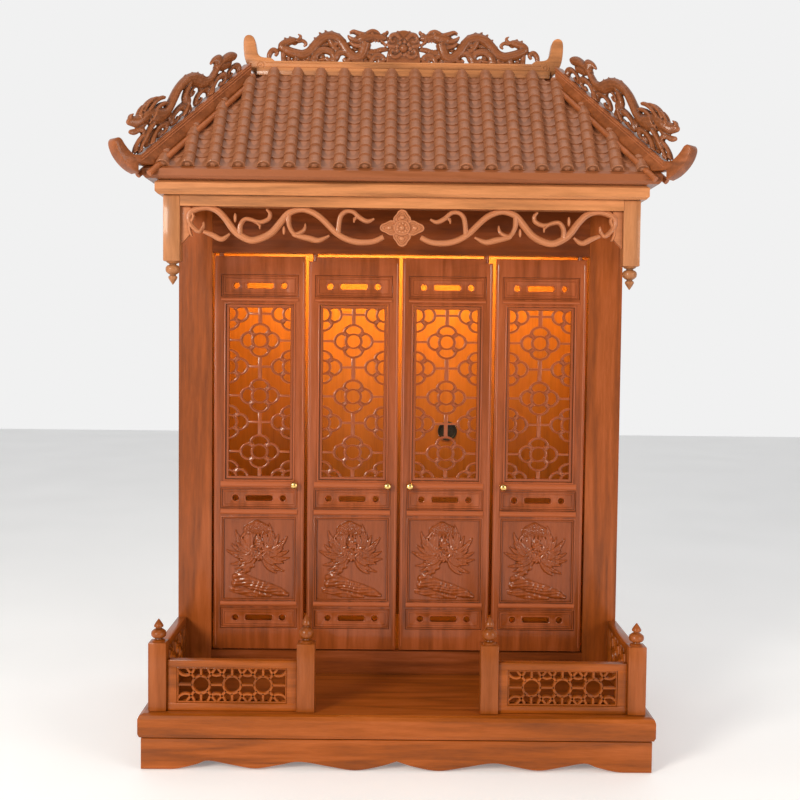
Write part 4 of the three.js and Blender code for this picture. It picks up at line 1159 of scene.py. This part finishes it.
# Roof tiles in courses, each a strip of round covers and hollow pans
roof = {
    "pitch": 37.1,
    "cover": 9.6,
    "rise": 9.2,
    "hollow": 2.4,
    "courses": 11,
    "lip": 2.6,
    "lift": 1.2,
    "panArch": 1.2,
    "disc": [
        (0, -2), (9.4, -2), (9.8, -1.4), (9.8, 1.2), (9.2, 1.8), (8.2, 1.8), (7.6, 1.1), (4.6, 1.1),
        (3.8, 1.9), (2.0, 2.4), (0, 2.5),
    ],
    "tongue": [
        (-9.5, 3.0), (-8.5, -1.5), (-5, -5.2), (0, -7), (5, -5.2), (8.5, -1.5), (9.5, 3.0), (5, 0.6),
        (0, -0.2), (-5, 0.6),
    ],
    "ridgeHalf": 234.0,
    "ridgeY": -22.0,
    "deckZ": 1041.0,
    "run": 138.0,
    "fall": 169.0,
    "eaveY": -166.0,
    "backY": 227.5,
    "hipGap": 11.2,
}
slopeLength = math.hypot(roof["run"], roof["fall"])
slopeRun = roof["run"] / slopeLength
slopeFall = roof["fall"] / slopeLength


def tileProfile():
    half = roof["pitch"] / 2
    marks = [(-1.0, 0), (-0.96, 0.28), (-0.85, 0.53), (-0.66, 0.75), (-0.4, 0.92), (0, 1.0)]
    left = [(share * roof["cover"], rise * roof["rise"]) for share, rise in marks]
    cover = left + [(-u, h) for u, h in reversed(left[:-1])]
    wide = half - roof["cover"]
    pan = [
        (roof["cover"] + wide * share, -roof["hollow"] * math.sin(math.pi / 2 * share))
        for share in (0.35, 0.7, 1.0)
    ]
    right = [(2 * half - u, h) for u, h in reversed(pan[:-1])]
    return cover + pan + right


def tileCourse(course, columns):
    step = slopeLength / roof["courses"]
    top = course * step - 3
    bottom = (course + 1) * step
    half = roof["pitch"] / 2
    rings = []
    for column in range(columns):
        centre = (column - (columns - 1) / 2) * roof["pitch"]
        for u, h in tileProfile():
            pan = max(0.0, 1 - (abs(u - half) / (half - roof["cover"])) ** 2) if u > roof["cover"] else 0.0
            low = bottom + roof["panArch"] * pan
            lift = roof["lip"]
            section = [(top, 0), ((top + low) / 2, lift / 2), (low, lift), (low, -1.4), (top, -2.2)]
            rings.append([(centre + u, v, h + roof["lift"] + off) for v, off in section])
    return skin(rings)


def eaveEnds(columns):
    shape = Shape()
    end = slopeLength + 0.6
    for column in range(columns):
        centre = (column - (columns - 1) / 2) * roof["pitch"]
        disc = revolve(roof["disc"], 22)
        shape.take(disc.placed(lambda x, y, z, centre=centre: (centre + x, end + z, 5.6 + y * 0.92)))
        if column == columns - 1:
            continue
        drip = plate(roof["tongue"], [], -1.2, 1.2, 0.5)
        middle = centre + roof["pitch"] / 2
        shape.take(drip.placed(lambda x, y, z, middle=middle: (middle + x, end + 2.4 - y, 3.0 + z * 0.8)))
    return shape


# Tiles of one slope; place turns across, down and height off the slope into the cabinet's own x, y, z
def slopeTiles(columns, place, cuts):
    tiles = Shape()
    for course in range(roof["courses"]):
        tiles.take(tileCourse(course, columns))
    tiles.take(eaveEnds(columns))
    half = columns * roof["pitch"] / 2
    tiles.take(board((-half, 0, -11), (half, slopeLength - 1, 0.4), 0))
    tiles = tiles.placed(place)
    for point, normal in cuts:
        tiles = tiles.cutBy(point, normal)
    return tiles


def makeRoof():
    ridgeHalf, ridgeY, deckZ = roof["ridgeHalf"], roof["ridgeY"], roof["deckZ"]
    turn = math.sqrt(0.5)

    def hipCut(sign, keepFront):
        outward = (sign * turn, turn, 0)
        shift = -roof["hipGap"] if keepFront else roof["hipGap"]
        point = (sign * ridgeHalf + shift * outward[0], ridgeY + shift * outward[1], 0)
        normal = outward if keepFront else (-outward[0], -outward[1], 0)
        return point, normal

    floorCut = ((0, 0, 871.8), (0, 0, -1))

    def frontPlace(u, v, h):
        return (u, ridgeY - v * slopeRun - h * slopeFall, deckZ - v * slopeFall + h * slopeRun)

    front = slopeTiles(20, frontPlace, [hipCut(-1, True), hipCut(1, True), floorCut])
    makePiece("roofFrontTiles", front, tileWood, "root", ["roof_front"])
    middleY = (roof["eaveY"] + 228) / 2
    for side, sign in [("left", -1), ("right", 1)]:

        def sidePlace(u, v, h, sign=sign):
            x = sign * (ridgeHalf + v * slopeRun + h * slopeFall)
            return (x, middleY + u, deckZ - v * slopeFall + h * slopeRun)

        cuts = [hipCut(sign, False), ((0, roof["backY"], 0), (0, 1, 0)), floorCut]
        shape = slopeTiles(12, sidePlace, cuts)
        makePiece(f"roof{side.title()}Tiles", shape, tileWood, "root", [f"roof_{side}"])


makeRoof()
print("roof tiles laid")

# Ridge beam and hip beams with upturned ends
beams = {
    "ridgeFront": -22.0,
    "ridgeBack": -2.0,
    "horn": [
        (-30, 1061), (-24, 1065.5), (-14, 1066), (-7, 1068), (-2.5, 1074), (-0.5, 1084), (1.5, 1094),
        (5, 1099), (10.5, 1101), (16, 1099), (18.8, 1093), (19, 1080), (17, 1064), (11, 1050), (0, 1041.2),
    ],
    "ring": (-8.0, 1054.0, 5.0),
    "hipHalf": 11.0,
    "hipStart": 16.0,
    "hipSink": 10.0,
    "hipRise": 25.0,
    "hipFall": 0.84,
    "hipEdge": 219.9,
    "tile": 9.0,
    "tileDrop": 0.866,
    "eaveTop": 872.0,
    "hornCurve": [
        (0, -13.8), (12, -9), (24, 0), (33, 11), (37.6, 22), (37.4, 29), (33.5, 32.8), (28, 31), (23, 24.5),
        (16, 17.5), (8, 12),
    ],
}
hipFall = roof["fall"] / (math.sqrt(2) * roof["run"])


def hipTopAt(s):
    return roof["deckZ"] + beams["hipRise"] - beams["hipFall"] * s


# Turns distance from the ridge end, depth across and height into the cabinet's x, y, z
def hipPlace(sign):
    turn = math.sqrt(0.5)

    def place(s, depth, z):
        x = roof["ridgeHalf"] + (s + depth) * turn
        y = roof["ridgeY"] + (-s + depth) * turn
        return (sign * x, y, z)

    return place


def makeRidge():
    half = roof["ridgeHalf"]
    rightHorn = [(half + x, z) for x, z in beams["horn"]]
    smooth = [tuple(point) for point in smoothPath(rightHorn, 3)]
    leftHorn = [(-x, z) for x, z in reversed(smooth)]
    shape = plate([*smooth, *leftHorn], [], beams["ridgeFront"], beams["ridgeBack"], 1.4, 2)
    front = beams["ridgeFront"]
    shape.take(board((-half + 2, front - 5.5, 1037), (half - 2, front + 2, 1049), 1.2))
    x, z, radius = beams["ring"]
    for sign in (-1, 1):
        turns = [(*point, 2.0) for point in oval(sign * (half + x), z, radius, radius, 20)]
        shape.take(vineBar(turns, 2.4, front, 0, 8, True))
        shape.take(ball((sign * (half + x), front, z), (2.2, 1.2, 2.2), 10, 6))
    for z in (1051.5, 1058.0):
        shape.take(vineBar([(-half + 16, z, 2.0), (half - 16, z, 2.0)], 1.8, front, 0, 8))
    makePiece("ridgeBeam", shape, corniceWood, "root", ["ridge"])


def makeHips():
    for side, sign in [("left", -1), ("right", 1)]:
        start = beams["hipStart"]
        foot = (roof["deckZ"] - beams["hipSink"] - beams["eaveTop"]) / hipFall
        edge = beams["hipEdge"]
        horn = [(edge + out, beams["eaveTop"] + up) for out, up in beams["hornCurve"]]
        smooth = [tuple(point) for point in smoothPath(horn, 3)]
        outer = [
            (start, roof["deckZ"] - beams["hipSink"] - hipFall * start),
            (foot, beams["eaveTop"]),
            (edge, beams["eaveTop"]),
            *smooth,
            (edge - 4, hipTopAt(edge - 4)),
            (start, hipTopAt(start)),
        ]
        half = beams["hipHalf"]
        shape = plate(outer, [], -half, half, 1.4, 2)
        for depth in (-half - 4, half + 4):
            # Rounded tile lying along the beam on either side
            lift = beams["tile"] - beams["tileDrop"] * abs(depth)
            ends = [start + 8, edge - 14]
            laid = [(s, roof["deckZ"] - hipFall * s + lift, beams["tile"]) for s in ends]
            shape.take(vineBar(laid, beams["tile"], depth, 0, 10))
        for depth in (-half, half):
            for drop in (4, 8.5):
                line = [(s, hipTopAt(s) - drop, 1.8) for s in (start + 2, edge - 4)]
                shape.take(vineBar(line, 1.6, depth, 0, 6))
        placed = shape.placed(hipPlace(sign))
        makePiece(f"hipBeam{side.title()}", placed, hipWood, "root", [f"hip_{side}"])


makeRidge()
makeHips()
print("beams made")

# Carved dragons: along the ridge, in distance from the middle and height above the ridge
carving = {
    "top": 1061.3,
    "lowered": 0.99,
    "y": -12.0,
    "voxel": 0.9,
    "body": [
        (167, 33, 2), (175, 34.4, 4.5), (186.7, 30.1, 5.6), (193.1, 23.8, 6), (183.6, 17.5, 6.4),
        (170.9, 13.2, 6.8), (159.8, 11.6, 7), (148.6, 16.3, 7), (139.1, 27.8, 7), (129.6, 37, 7),
        (116.9, 41.4, 7), (104.2, 37.6, 6.8), (96.3, 27.8, 6.8), (88.4, 16.7, 7), (77.2, 8.7, 7),
        (66.9, 11.9, 7.2), (62.5, 23, 7.8), (60, 32, 8),
    ],
    "skull": [
        (78, 36, 5), (68, 37, 10.5), (57, 40, 10), (47, 42, 8), (37, 40, 7), (30, 40, 5.4), (26, 42, 3.2),
    ],
    "jaw": [(68, 21, 5), (57, 17, 6), (46, 17, 5.4), (36, 21, 4.6), (27, 22, 3.6), (23, 20.5, 2)],
    "clouds": [
        (38, 13, -1), (53, 15, 1), (74, 13, 1), (94, 17, -1), (122, 20, -1), (143, 16, 1), (158, 13, -1),
        (176, 12, 1),
    ],
    "highClouds": [(104, 13, 1, 18), (120, 12, -1, 18), (80, 12, -1, 20), (176, 10, -1, 28)],
    "fins": [
        (186, 36), (178, 38), (146, 26), (139, 37), (131, 45), (122, 48.4), (112, 48), (101, 44), (93, 36),
    ],
    "volute": [(214, 0, 2.6), (213, 12, 3.6), (207, 19, 3.6), (201, 15, 3.0), (204, 9, 2.0)],
}


def spine(points, depth=0.0, flat=1.0, steps=5):
    return limb([(x, depth, z, radius) for x, z, radius in points], steps, 12, flat)


def curl(points, depth=0.0, swell=1.25):
    return limb([(x, depth, z, swell * radius) for x, z, radius in points], 4, 8, 1.0)


# Scroll of cloud standing on the beam, opening towards one side
def cloud(at, size, side, depth=0.0, foot=0.0):
    steps = [(-1, 0), (-0.85, 0.55), (-0.3, 0.95), (0.35, 0.8), (0.55, 0.35), (0.2, 0.12), (-0.1, 0.36)]
    radii = [0.38, 0.34, 0.32, 0.3, 0.27, 0.24, 0.2]
    points = [(at + side * size * x, foot + size * z, size * r) for (x, z), r in zip(steps, radii)]
    return curl(points, depth, 1.0)


def ridgeDragon():
    shape = spine([(x, z, 1.2 * radius) for x, z, radius in carving["body"]])
    # Skull, snout, brow and jaw, looking to the middle
    shape.take(spine(carving["skull"], 0, 0.9))
    shape.take(spine([(30, 43, 2.6), (26, 49, 3.2), (24, 50.5, 1.6)]))
    shape.take(spine(carving["jaw"], 0, 0.8))
    for depth in (-4.5, 4.5):
        shape.take(curl([(58, 46, 3), (50, 50, 2.8), (43, 49, 2.2), (38, 46, 1.2)], depth))
        shape.take(ball((50, depth * 1.35, 45), (3.0, 2.2, 3.0), 10, 6))
        shape.take(curl([(64, 44, 3.4), (72, 46.5, 3.0), (80, 49.5, 2.2), (86, 47, 1.0)], depth))
        shape.take(curl([(66, 36, 3.6), (76, 35, 3.4), (84, 38, 2.6), (89, 43, 1.2)], depth * 0.8))
        shape.take(curl([(62, 28, 3.4), (72, 26, 3.2), (80, 28, 2.6), (86, 33, 1.2)], depth * 0.7))
        shape.take(curl([(36, 34, 1.6), (31, 31, 1.6), (28, 27, 1.2), (31, 24, 0.8)], depth * 0.9))
        shape.take(curl([(33, 44, 2.2), (30, 46, 2.4), (27, 44, 1.4)], depth * 0.5))
    for k in range(4):
        x = 36 + 4.5 * k
        shape.take(curl([(x, 35.5, 1.5), (x - 0.6, 31.5, 0.6)], -3.5))
        shape.take(curl([(x + 1, 18, 1.4), (x + 0.4, 22.5, 0.6)], -3.0))
    # Fore leg with its claw on the ridge, hind legs, and the curled support at the tail
    shape.take(spine([(92, 22, 5), (84, 8, 4.6), (72, 2, 4), (64, 1.5, 3)], -2))
    shape.take(spine([(60, 14, 4), (48, 7, 3.8), (38, 8, 3.2), (30, 6, 3), (26, 1.5, 2)], -1))
    for toe in (-3, 0, 3):
        shape.take(curl([(31, 6, 1.8), (25 + toe, 5, 1.6), (23 + 1.6 * toe, 0.8, 0.9)], toe))
    shape.take(spine([(118, 38, 5.6), (112, 26, 5), (104, 16, 4.6), (106, 6, 4.2), (112, 0, 3.4)], -1))
    shape.take(spine([(130, 34, 5.6), (136, 22, 5), (132, 10, 4.4), (124, 0, 3.4)], 1))
    for toe in (-4, 0, 4):
        shape.take(curl([(112, 4, 2.0), (116 + toe, 3, 1.8), (118 + 1.5 * toe, 0, 1.0)], toe * 0.8))
        shape.take(curl([(126, 4, 2.0), (130 + toe, 3, 1.6), (133 + 1.4 * toe, 0, 1.0)], -toe * 0.8))
    shape.take(spine([(190, 24, 4.6), (191, 12, 4.2), (190, 0, 4.6)]))
    shape.take(curl([(160, 12, 3.4), (166, 4, 3.2), (160, 0, 2.4)], 0))
    shape.take(curl([(168, 33, 2.8), (160, 34, 2.6), (155, 29, 2.4), (159, 25, 1.4)]))
    shape.take(curl([(170, 33, 2.2), (163, 40, 2.0), (168, 44, 1.0)], -2))
    for at, size, side in carving["clouds"]:
        shape.take(cloud(at, size, side, 1.5 * side))
    for at, size, side, foot in carving["highClouds"]:
        shape.take(cloud(at, size, side, -2.0 * side, foot))
    # Back fins along the upper bends of the body
    for x, z in carving["fins"]:
        shape.take(curl([(x, z - 3, 2.6), (x + 1.6, z + 0.8, 1.9), (x + 4.2, z + 2.6, 0.8)]))
    return shape


# Scrolls of the medallion at its right: depth off its middle, then points x, z, radius
medallionScrolls = [
    (-6.5, [(4, 36, 3.0), (13, 44, 3.0), (21, 40, 2.6), (19, 33, 2.0), (14, 34, 1.2)]),
    (-6.5, [(3, 14, 2.6), (12, 8, 2.8), (20, 12, 2.4), (18, 19, 1.8), (13, 17, 1.2)]),
    (-6, [(14, 25, 2.2), (22, 26, 2.4), (27, 30, 1.2)]),
]


def ridgeMedallion():
    shape = Shape()
    outer = [(-27, 0), (-26, 14), (-23, 22), (-26, 34), (-21, 46), (-11, 49), (0, 51.5)]
    right = [(-x, z) for x, z in reversed(outer[:-1])]
    loop = [tuple(point) for point in smoothPath([*outer, *right], 4)]
    shape.take(plate(loop, [], -7, 6, 1.5, 1))
    for sign in (-1, 1):
        for depth, scroll in medallionScrolls:
            shape.take(curl([(sign * x, z, radius) for x, z, radius in scroll], depth))
    for k in range(9):
        turn = 2 * math.pi * k / 9
        shape.take(ball((10.5 * math.cos(turn), -7, 22 + 10.5 * math.sin(turn)), (3.2, 2.4, 3.2), 8, 5))
    for x in (-8, 0, 8):
        shape.take(curl([(x, 38, 2.2), (x * 1.1, 46, 2.4), (x * 1.25, 51, 1.0)], -4))
    shape.take(ball((0, -8, 22), (6.8, 6.0, 6.8), 18, 10))
    return shape


def makeRidgeCarving():
    whole = ridgeMedallion()
    dragon = ridgeDragon()
    whole.take(dragon, dragon.mirrored(-1))
    for sign in (-1, 1):
        whole.take(curl([(sign * x, z, radius) for x, z, radius in carving["volute"]]))
    top, lowered = carving["top"], carving["lowered"]
    whole = whole.placed(lambda x, y, z: (x, y + carving["y"], top + lowered * z))
    whole = whole.cutBy((0, 0, top - 0.2), (0, 0, -1))
    shape = remeshed(whole, carving["voxel"])
    makePiece("ridgeDragons", shape, carvedWood, "root", ["ridge_carving"], 60)


makeRidgeCarving()
print("ridge dragons carved")

# Dragons on the hips: distance from the ridge end, height above the hip beam
hipDragon = {
    "body": [
        (72, 34, 5.4), (80, 27, 5.6), (88, 23, 5.8), (99, 26, 6.2), (109, 36, 6.6), (121, 46, 7),
        (134, 51, 7.2), (146, 48, 7.2), (155, 39, 7.4), (163, 31, 7.8), (173, 28, 8.2), (183, 33, 8.8),
        (192, 41, 9),
    ],
    "skull": [
        (184, 36, 7), (194, 44, 10), (204, 48, 11), (213, 49, 9.5), (221, 53, 6.8), (229, 59, 5),
        (232.5, 63, 2.8),
    ],
    "jaw": [(200, 40, 6.4), (209, 36, 5.8), (218, 36, 4.6), (226, 41, 3.2), (230, 45, 1.8)],
    "tail": [
        [(78, 32, 7), (68, 35, 7.5), (57, 35, 8), (47, 30, 7), (39, 25, 4)],
        [(72, 36, 7), (74, 44, 7), (81, 48, 5), (87, 46, 2.6)],
        [(70, 33, 7), (60, 26, 7), (49, 20, 4)],
    ],
    "legs": [
        [(182, 32, 6.4), (195, 25, 6), (204, 16, 5), (211, 8, 4), (215, 2, 3)],
        [(166, 28, 6), (160, 15, 5), (166, 3, 4)],
        [(126, 44, 6.4), (135, 30, 6), (129, 16, 5), (136, 3, 4)],
        [(92, 22, 5.6), (84, 12, 5), (90, 2, 4)],
    ],
    "clouds": [
        (46, 14, 1, 0), (70, 17, -1, 0), (104, 17, 1, 0), (146, 19, 1, 0),
        (176, 16, -1, 0), (192, 15, 1, 0), (207, 14, -1, 8), (116, 12, 1, 20),
    ],
}


def hipDragonShape():
    shape = spine([(s, up, 1.25 * radius) for s, up, radius in hipDragon["body"]])
    shape.take(spine(hipDragon["skull"], 0, 0.85), spine(hipDragon["jaw"], 0, 0.8))
    for points in hipDragon["tail"]:
        shape.take(spine(points))
    for points, depth in zip(hipDragon["legs"], (-2, 2, -2, -1)):
        shape.take(spine(points, depth))
    for at, size, side, foot in hipDragon["clouds"]:
        shape.take(cloud(at, size, side, 1.5 * side, foot))
    for depth in (-4.2, 4.2):
        shape.take(curl([(208, 57, 3), (200, 63, 2.8), (190, 63, 2.3), (181, 59, 1.1)], depth))
        shape.take(curl([(214, 56, 2.6), (211, 62, 2.2), (205, 65, 1.2)], depth))
        shape.take(ball((213, depth * 1.5, 54), (3.0, 2.2, 3.0), 10, 6))
        shape.take(curl([(199, 52, 4), (188, 57, 3.6), (178, 56, 2.8), (170, 51, 1.4)], depth * 0.9))
        shape.take(curl([(195, 42, 4), (182, 46, 3.6), (172, 44, 2.6), (165, 39, 1.2)], depth))
        shape.take(curl([(198, 37, 3.6), (188, 35, 3.2), (180, 29, 2.0)], depth))
        shape.take(curl([(211, 33, 2.4), (206, 27, 2.2), (210, 21, 1.6), (215, 22, 0.9)], depth * 0.6))
        shape.take(curl([(228, 61, 2.0), (228, 65, 2.0), (223, 64, 1)], depth * 0.5))
    for k in range(3):
        x = 214 + 4 * k
        shape.take(curl([(x, 47 + 2.6 * k, 1.4), (x + 0.3, 43.5 + 2.6 * k, 0.6)], -2.6))
    for toe in (-4, 0, 4):
        shape.take(curl([(212, 6, 2), (214 + toe, 4, 1.6), (215 + toe, 0.6, 0.9)], toe))
        shape.take(curl([(134, 5, 2), (140 + toe, 4, 1.6), (143 + 1.3 * toe, 0.6, 0.9)], toe))
    for x, z in [(104, 38), (113, 47), (124, 54), (136, 58), (148, 54), (157, 46), (178, 38)]:
        shape.take(curl([(x, z - 4, 2.6), (x - 1.4, z + 0.5, 1.9), (x - 4, z + 2.4, 0.8)]))
    return shape


def makeHipDragons():
    drawn = hipDragonShape().cutBy((0, 0, 0.1), (0, 0, -1))
    standing = drawn.placed(lambda s, depth, up: (s, depth, hipTopAt(s) + 0.3 + up))
    carved = remeshed(standing, carving["voxel"])
    for side, sign in [("left", -1), ("right", 1)]:
        shape = carved.placed(hipPlace(sign))
        name = f"hipDragon{side.title()}"
        makePiece(name, shape, carvedWood, "root", [f"hip_dragon_{side}"], 60)


makeHipDragons()
print("hip dragons carved")

# Floor, surround, light and camera
studio = {
    "floorHalf": 6.0,
    "floorZ": -0.001,
    "key": (-1.6, -2.2, 1.25),
    "fill": (1.9, -1.8, 0.85),
    "sky": [(0.0, 0.3), (0.6, 0.88)],
    "top": (0.0, -0.4, 2.6),
}


def makeStage():
    data = bpy.data.meshes.new("studioFloor")
    half = studio["floorHalf"]
    corners = [(x * half, y * half, studio["floorZ"]) for x, y in [(-1, -1), (1, -1), (1, 1), (-1, 1)]]
    data.from_pydata(corners, [], [(0, 1, 2, 3)])
    floor = linked("studioFloor", data)
    finish = Finish("paleFloor", {"Roughness": 0.7, "Emission Strength": 0.22})
    place = finish.node("TexCoord", {}, {}, "Object")
    mottle = finish.node("TexNoise", {}, {"Vector": place, "Scale": 3.0})
    stops = [(0.3, (0.86, 0.86, 0.86)), (0.7, (0.9, 0.9, 0.9))]
    pale = finish.node("ValToRGB", {"stops": stops}, {"Fac": mottle})
    finish.feed("Base Color", pale)
    finish.feed("Emission Color", pale)
    data.materials.append(finish.material)


def makeLight(name, at, size, power, colour, target=(0, 0, 0.6), height=None):
    lamp = bpy.data.lights.new(name, "AREA")
    lamp.shape = "RECTANGLE" if height else "SQUARE"
    lamp.size = size
    if height:
        lamp.size_y = height
    lamp.energy = power
    lamp.color = colour
    holder = linked(name, lamp)
    holder.location = at
    holder.rotation_euler = (Vector(target) - Vector(at)).to_track_quat("-Z", "Y").to_euler()


def makeStudio():
    world = bpy.data.worlds.new("studio")
    bpy.context.scene.world = world
    world.use_nodes = True
    tree = world.node_tree
    place = tree.nodes.new("ShaderNodeTexCoord")
    parts = tree.nodes.new("ShaderNodeSeparateXYZ")
    shade = tree.nodes.new("ShaderNodeValToRGB")
    tree.links.new(place.outputs["Generated"], parts.inputs[0])
    tree.links.new(parts.outputs["Y"], shade.inputs[0])
    tree.links.new(shade.outputs["Color"], tree.nodes["Background"].inputs["Color"])
    for element, (position, grey) in zip(shade.color_ramp.elements, studio["sky"]):
        element.position = position
        element.color = (grey, grey, grey, 1)
    makeLight("key", studio["key"], 0.8, 60, (1, 0.94, 0.84))
    makeLight("fill", studio["fill"], 1.2, 26, (1, 0.95, 0.87))
    makeLight("top", studio["top"], 1.6, 9, (1, 1, 1), (0, 0, 0.8))
    makeLight("shrineLamp", (0, 0.06, 0.818), 0.56, 4.8, (1, 0.68, 0.22), (0, 0.26, 0.6), 0.08)
    bpy.context.scene.view_settings.view_transform = "Standard"


camera = {
    "at": (-0.0141, -1.840, 0.6149),
    "lens": 50.95,
    "forward": (0.0081, 0.9988, -0.0493),
    "roll": 0.0112,
}


def makeCamera():
    lens = bpy.data.cameras.new("camera")
    lens.lens = camera["lens"]
    lens.sensor_width = 36
    holder = linked("camera", lens)
    forward = Vector(camera["forward"]).normalized()
    right = forward.cross(Vector((0, 0, 1))).normalized()
    up = right.cross(forward)
    leaning = (right + camera["roll"] * up).normalized()
    upright = (up - camera["roll"] * right).normalized()
    turn = Matrix((leaning, upright, -forward)).transposed()
    holder.matrix_world = Matrix.Translation(camera["at"]) @ turn.to_4x4()
    bpy.context.scene.camera = holder


makeStage()
makeStudio()
makeCamera()
print("studio set")
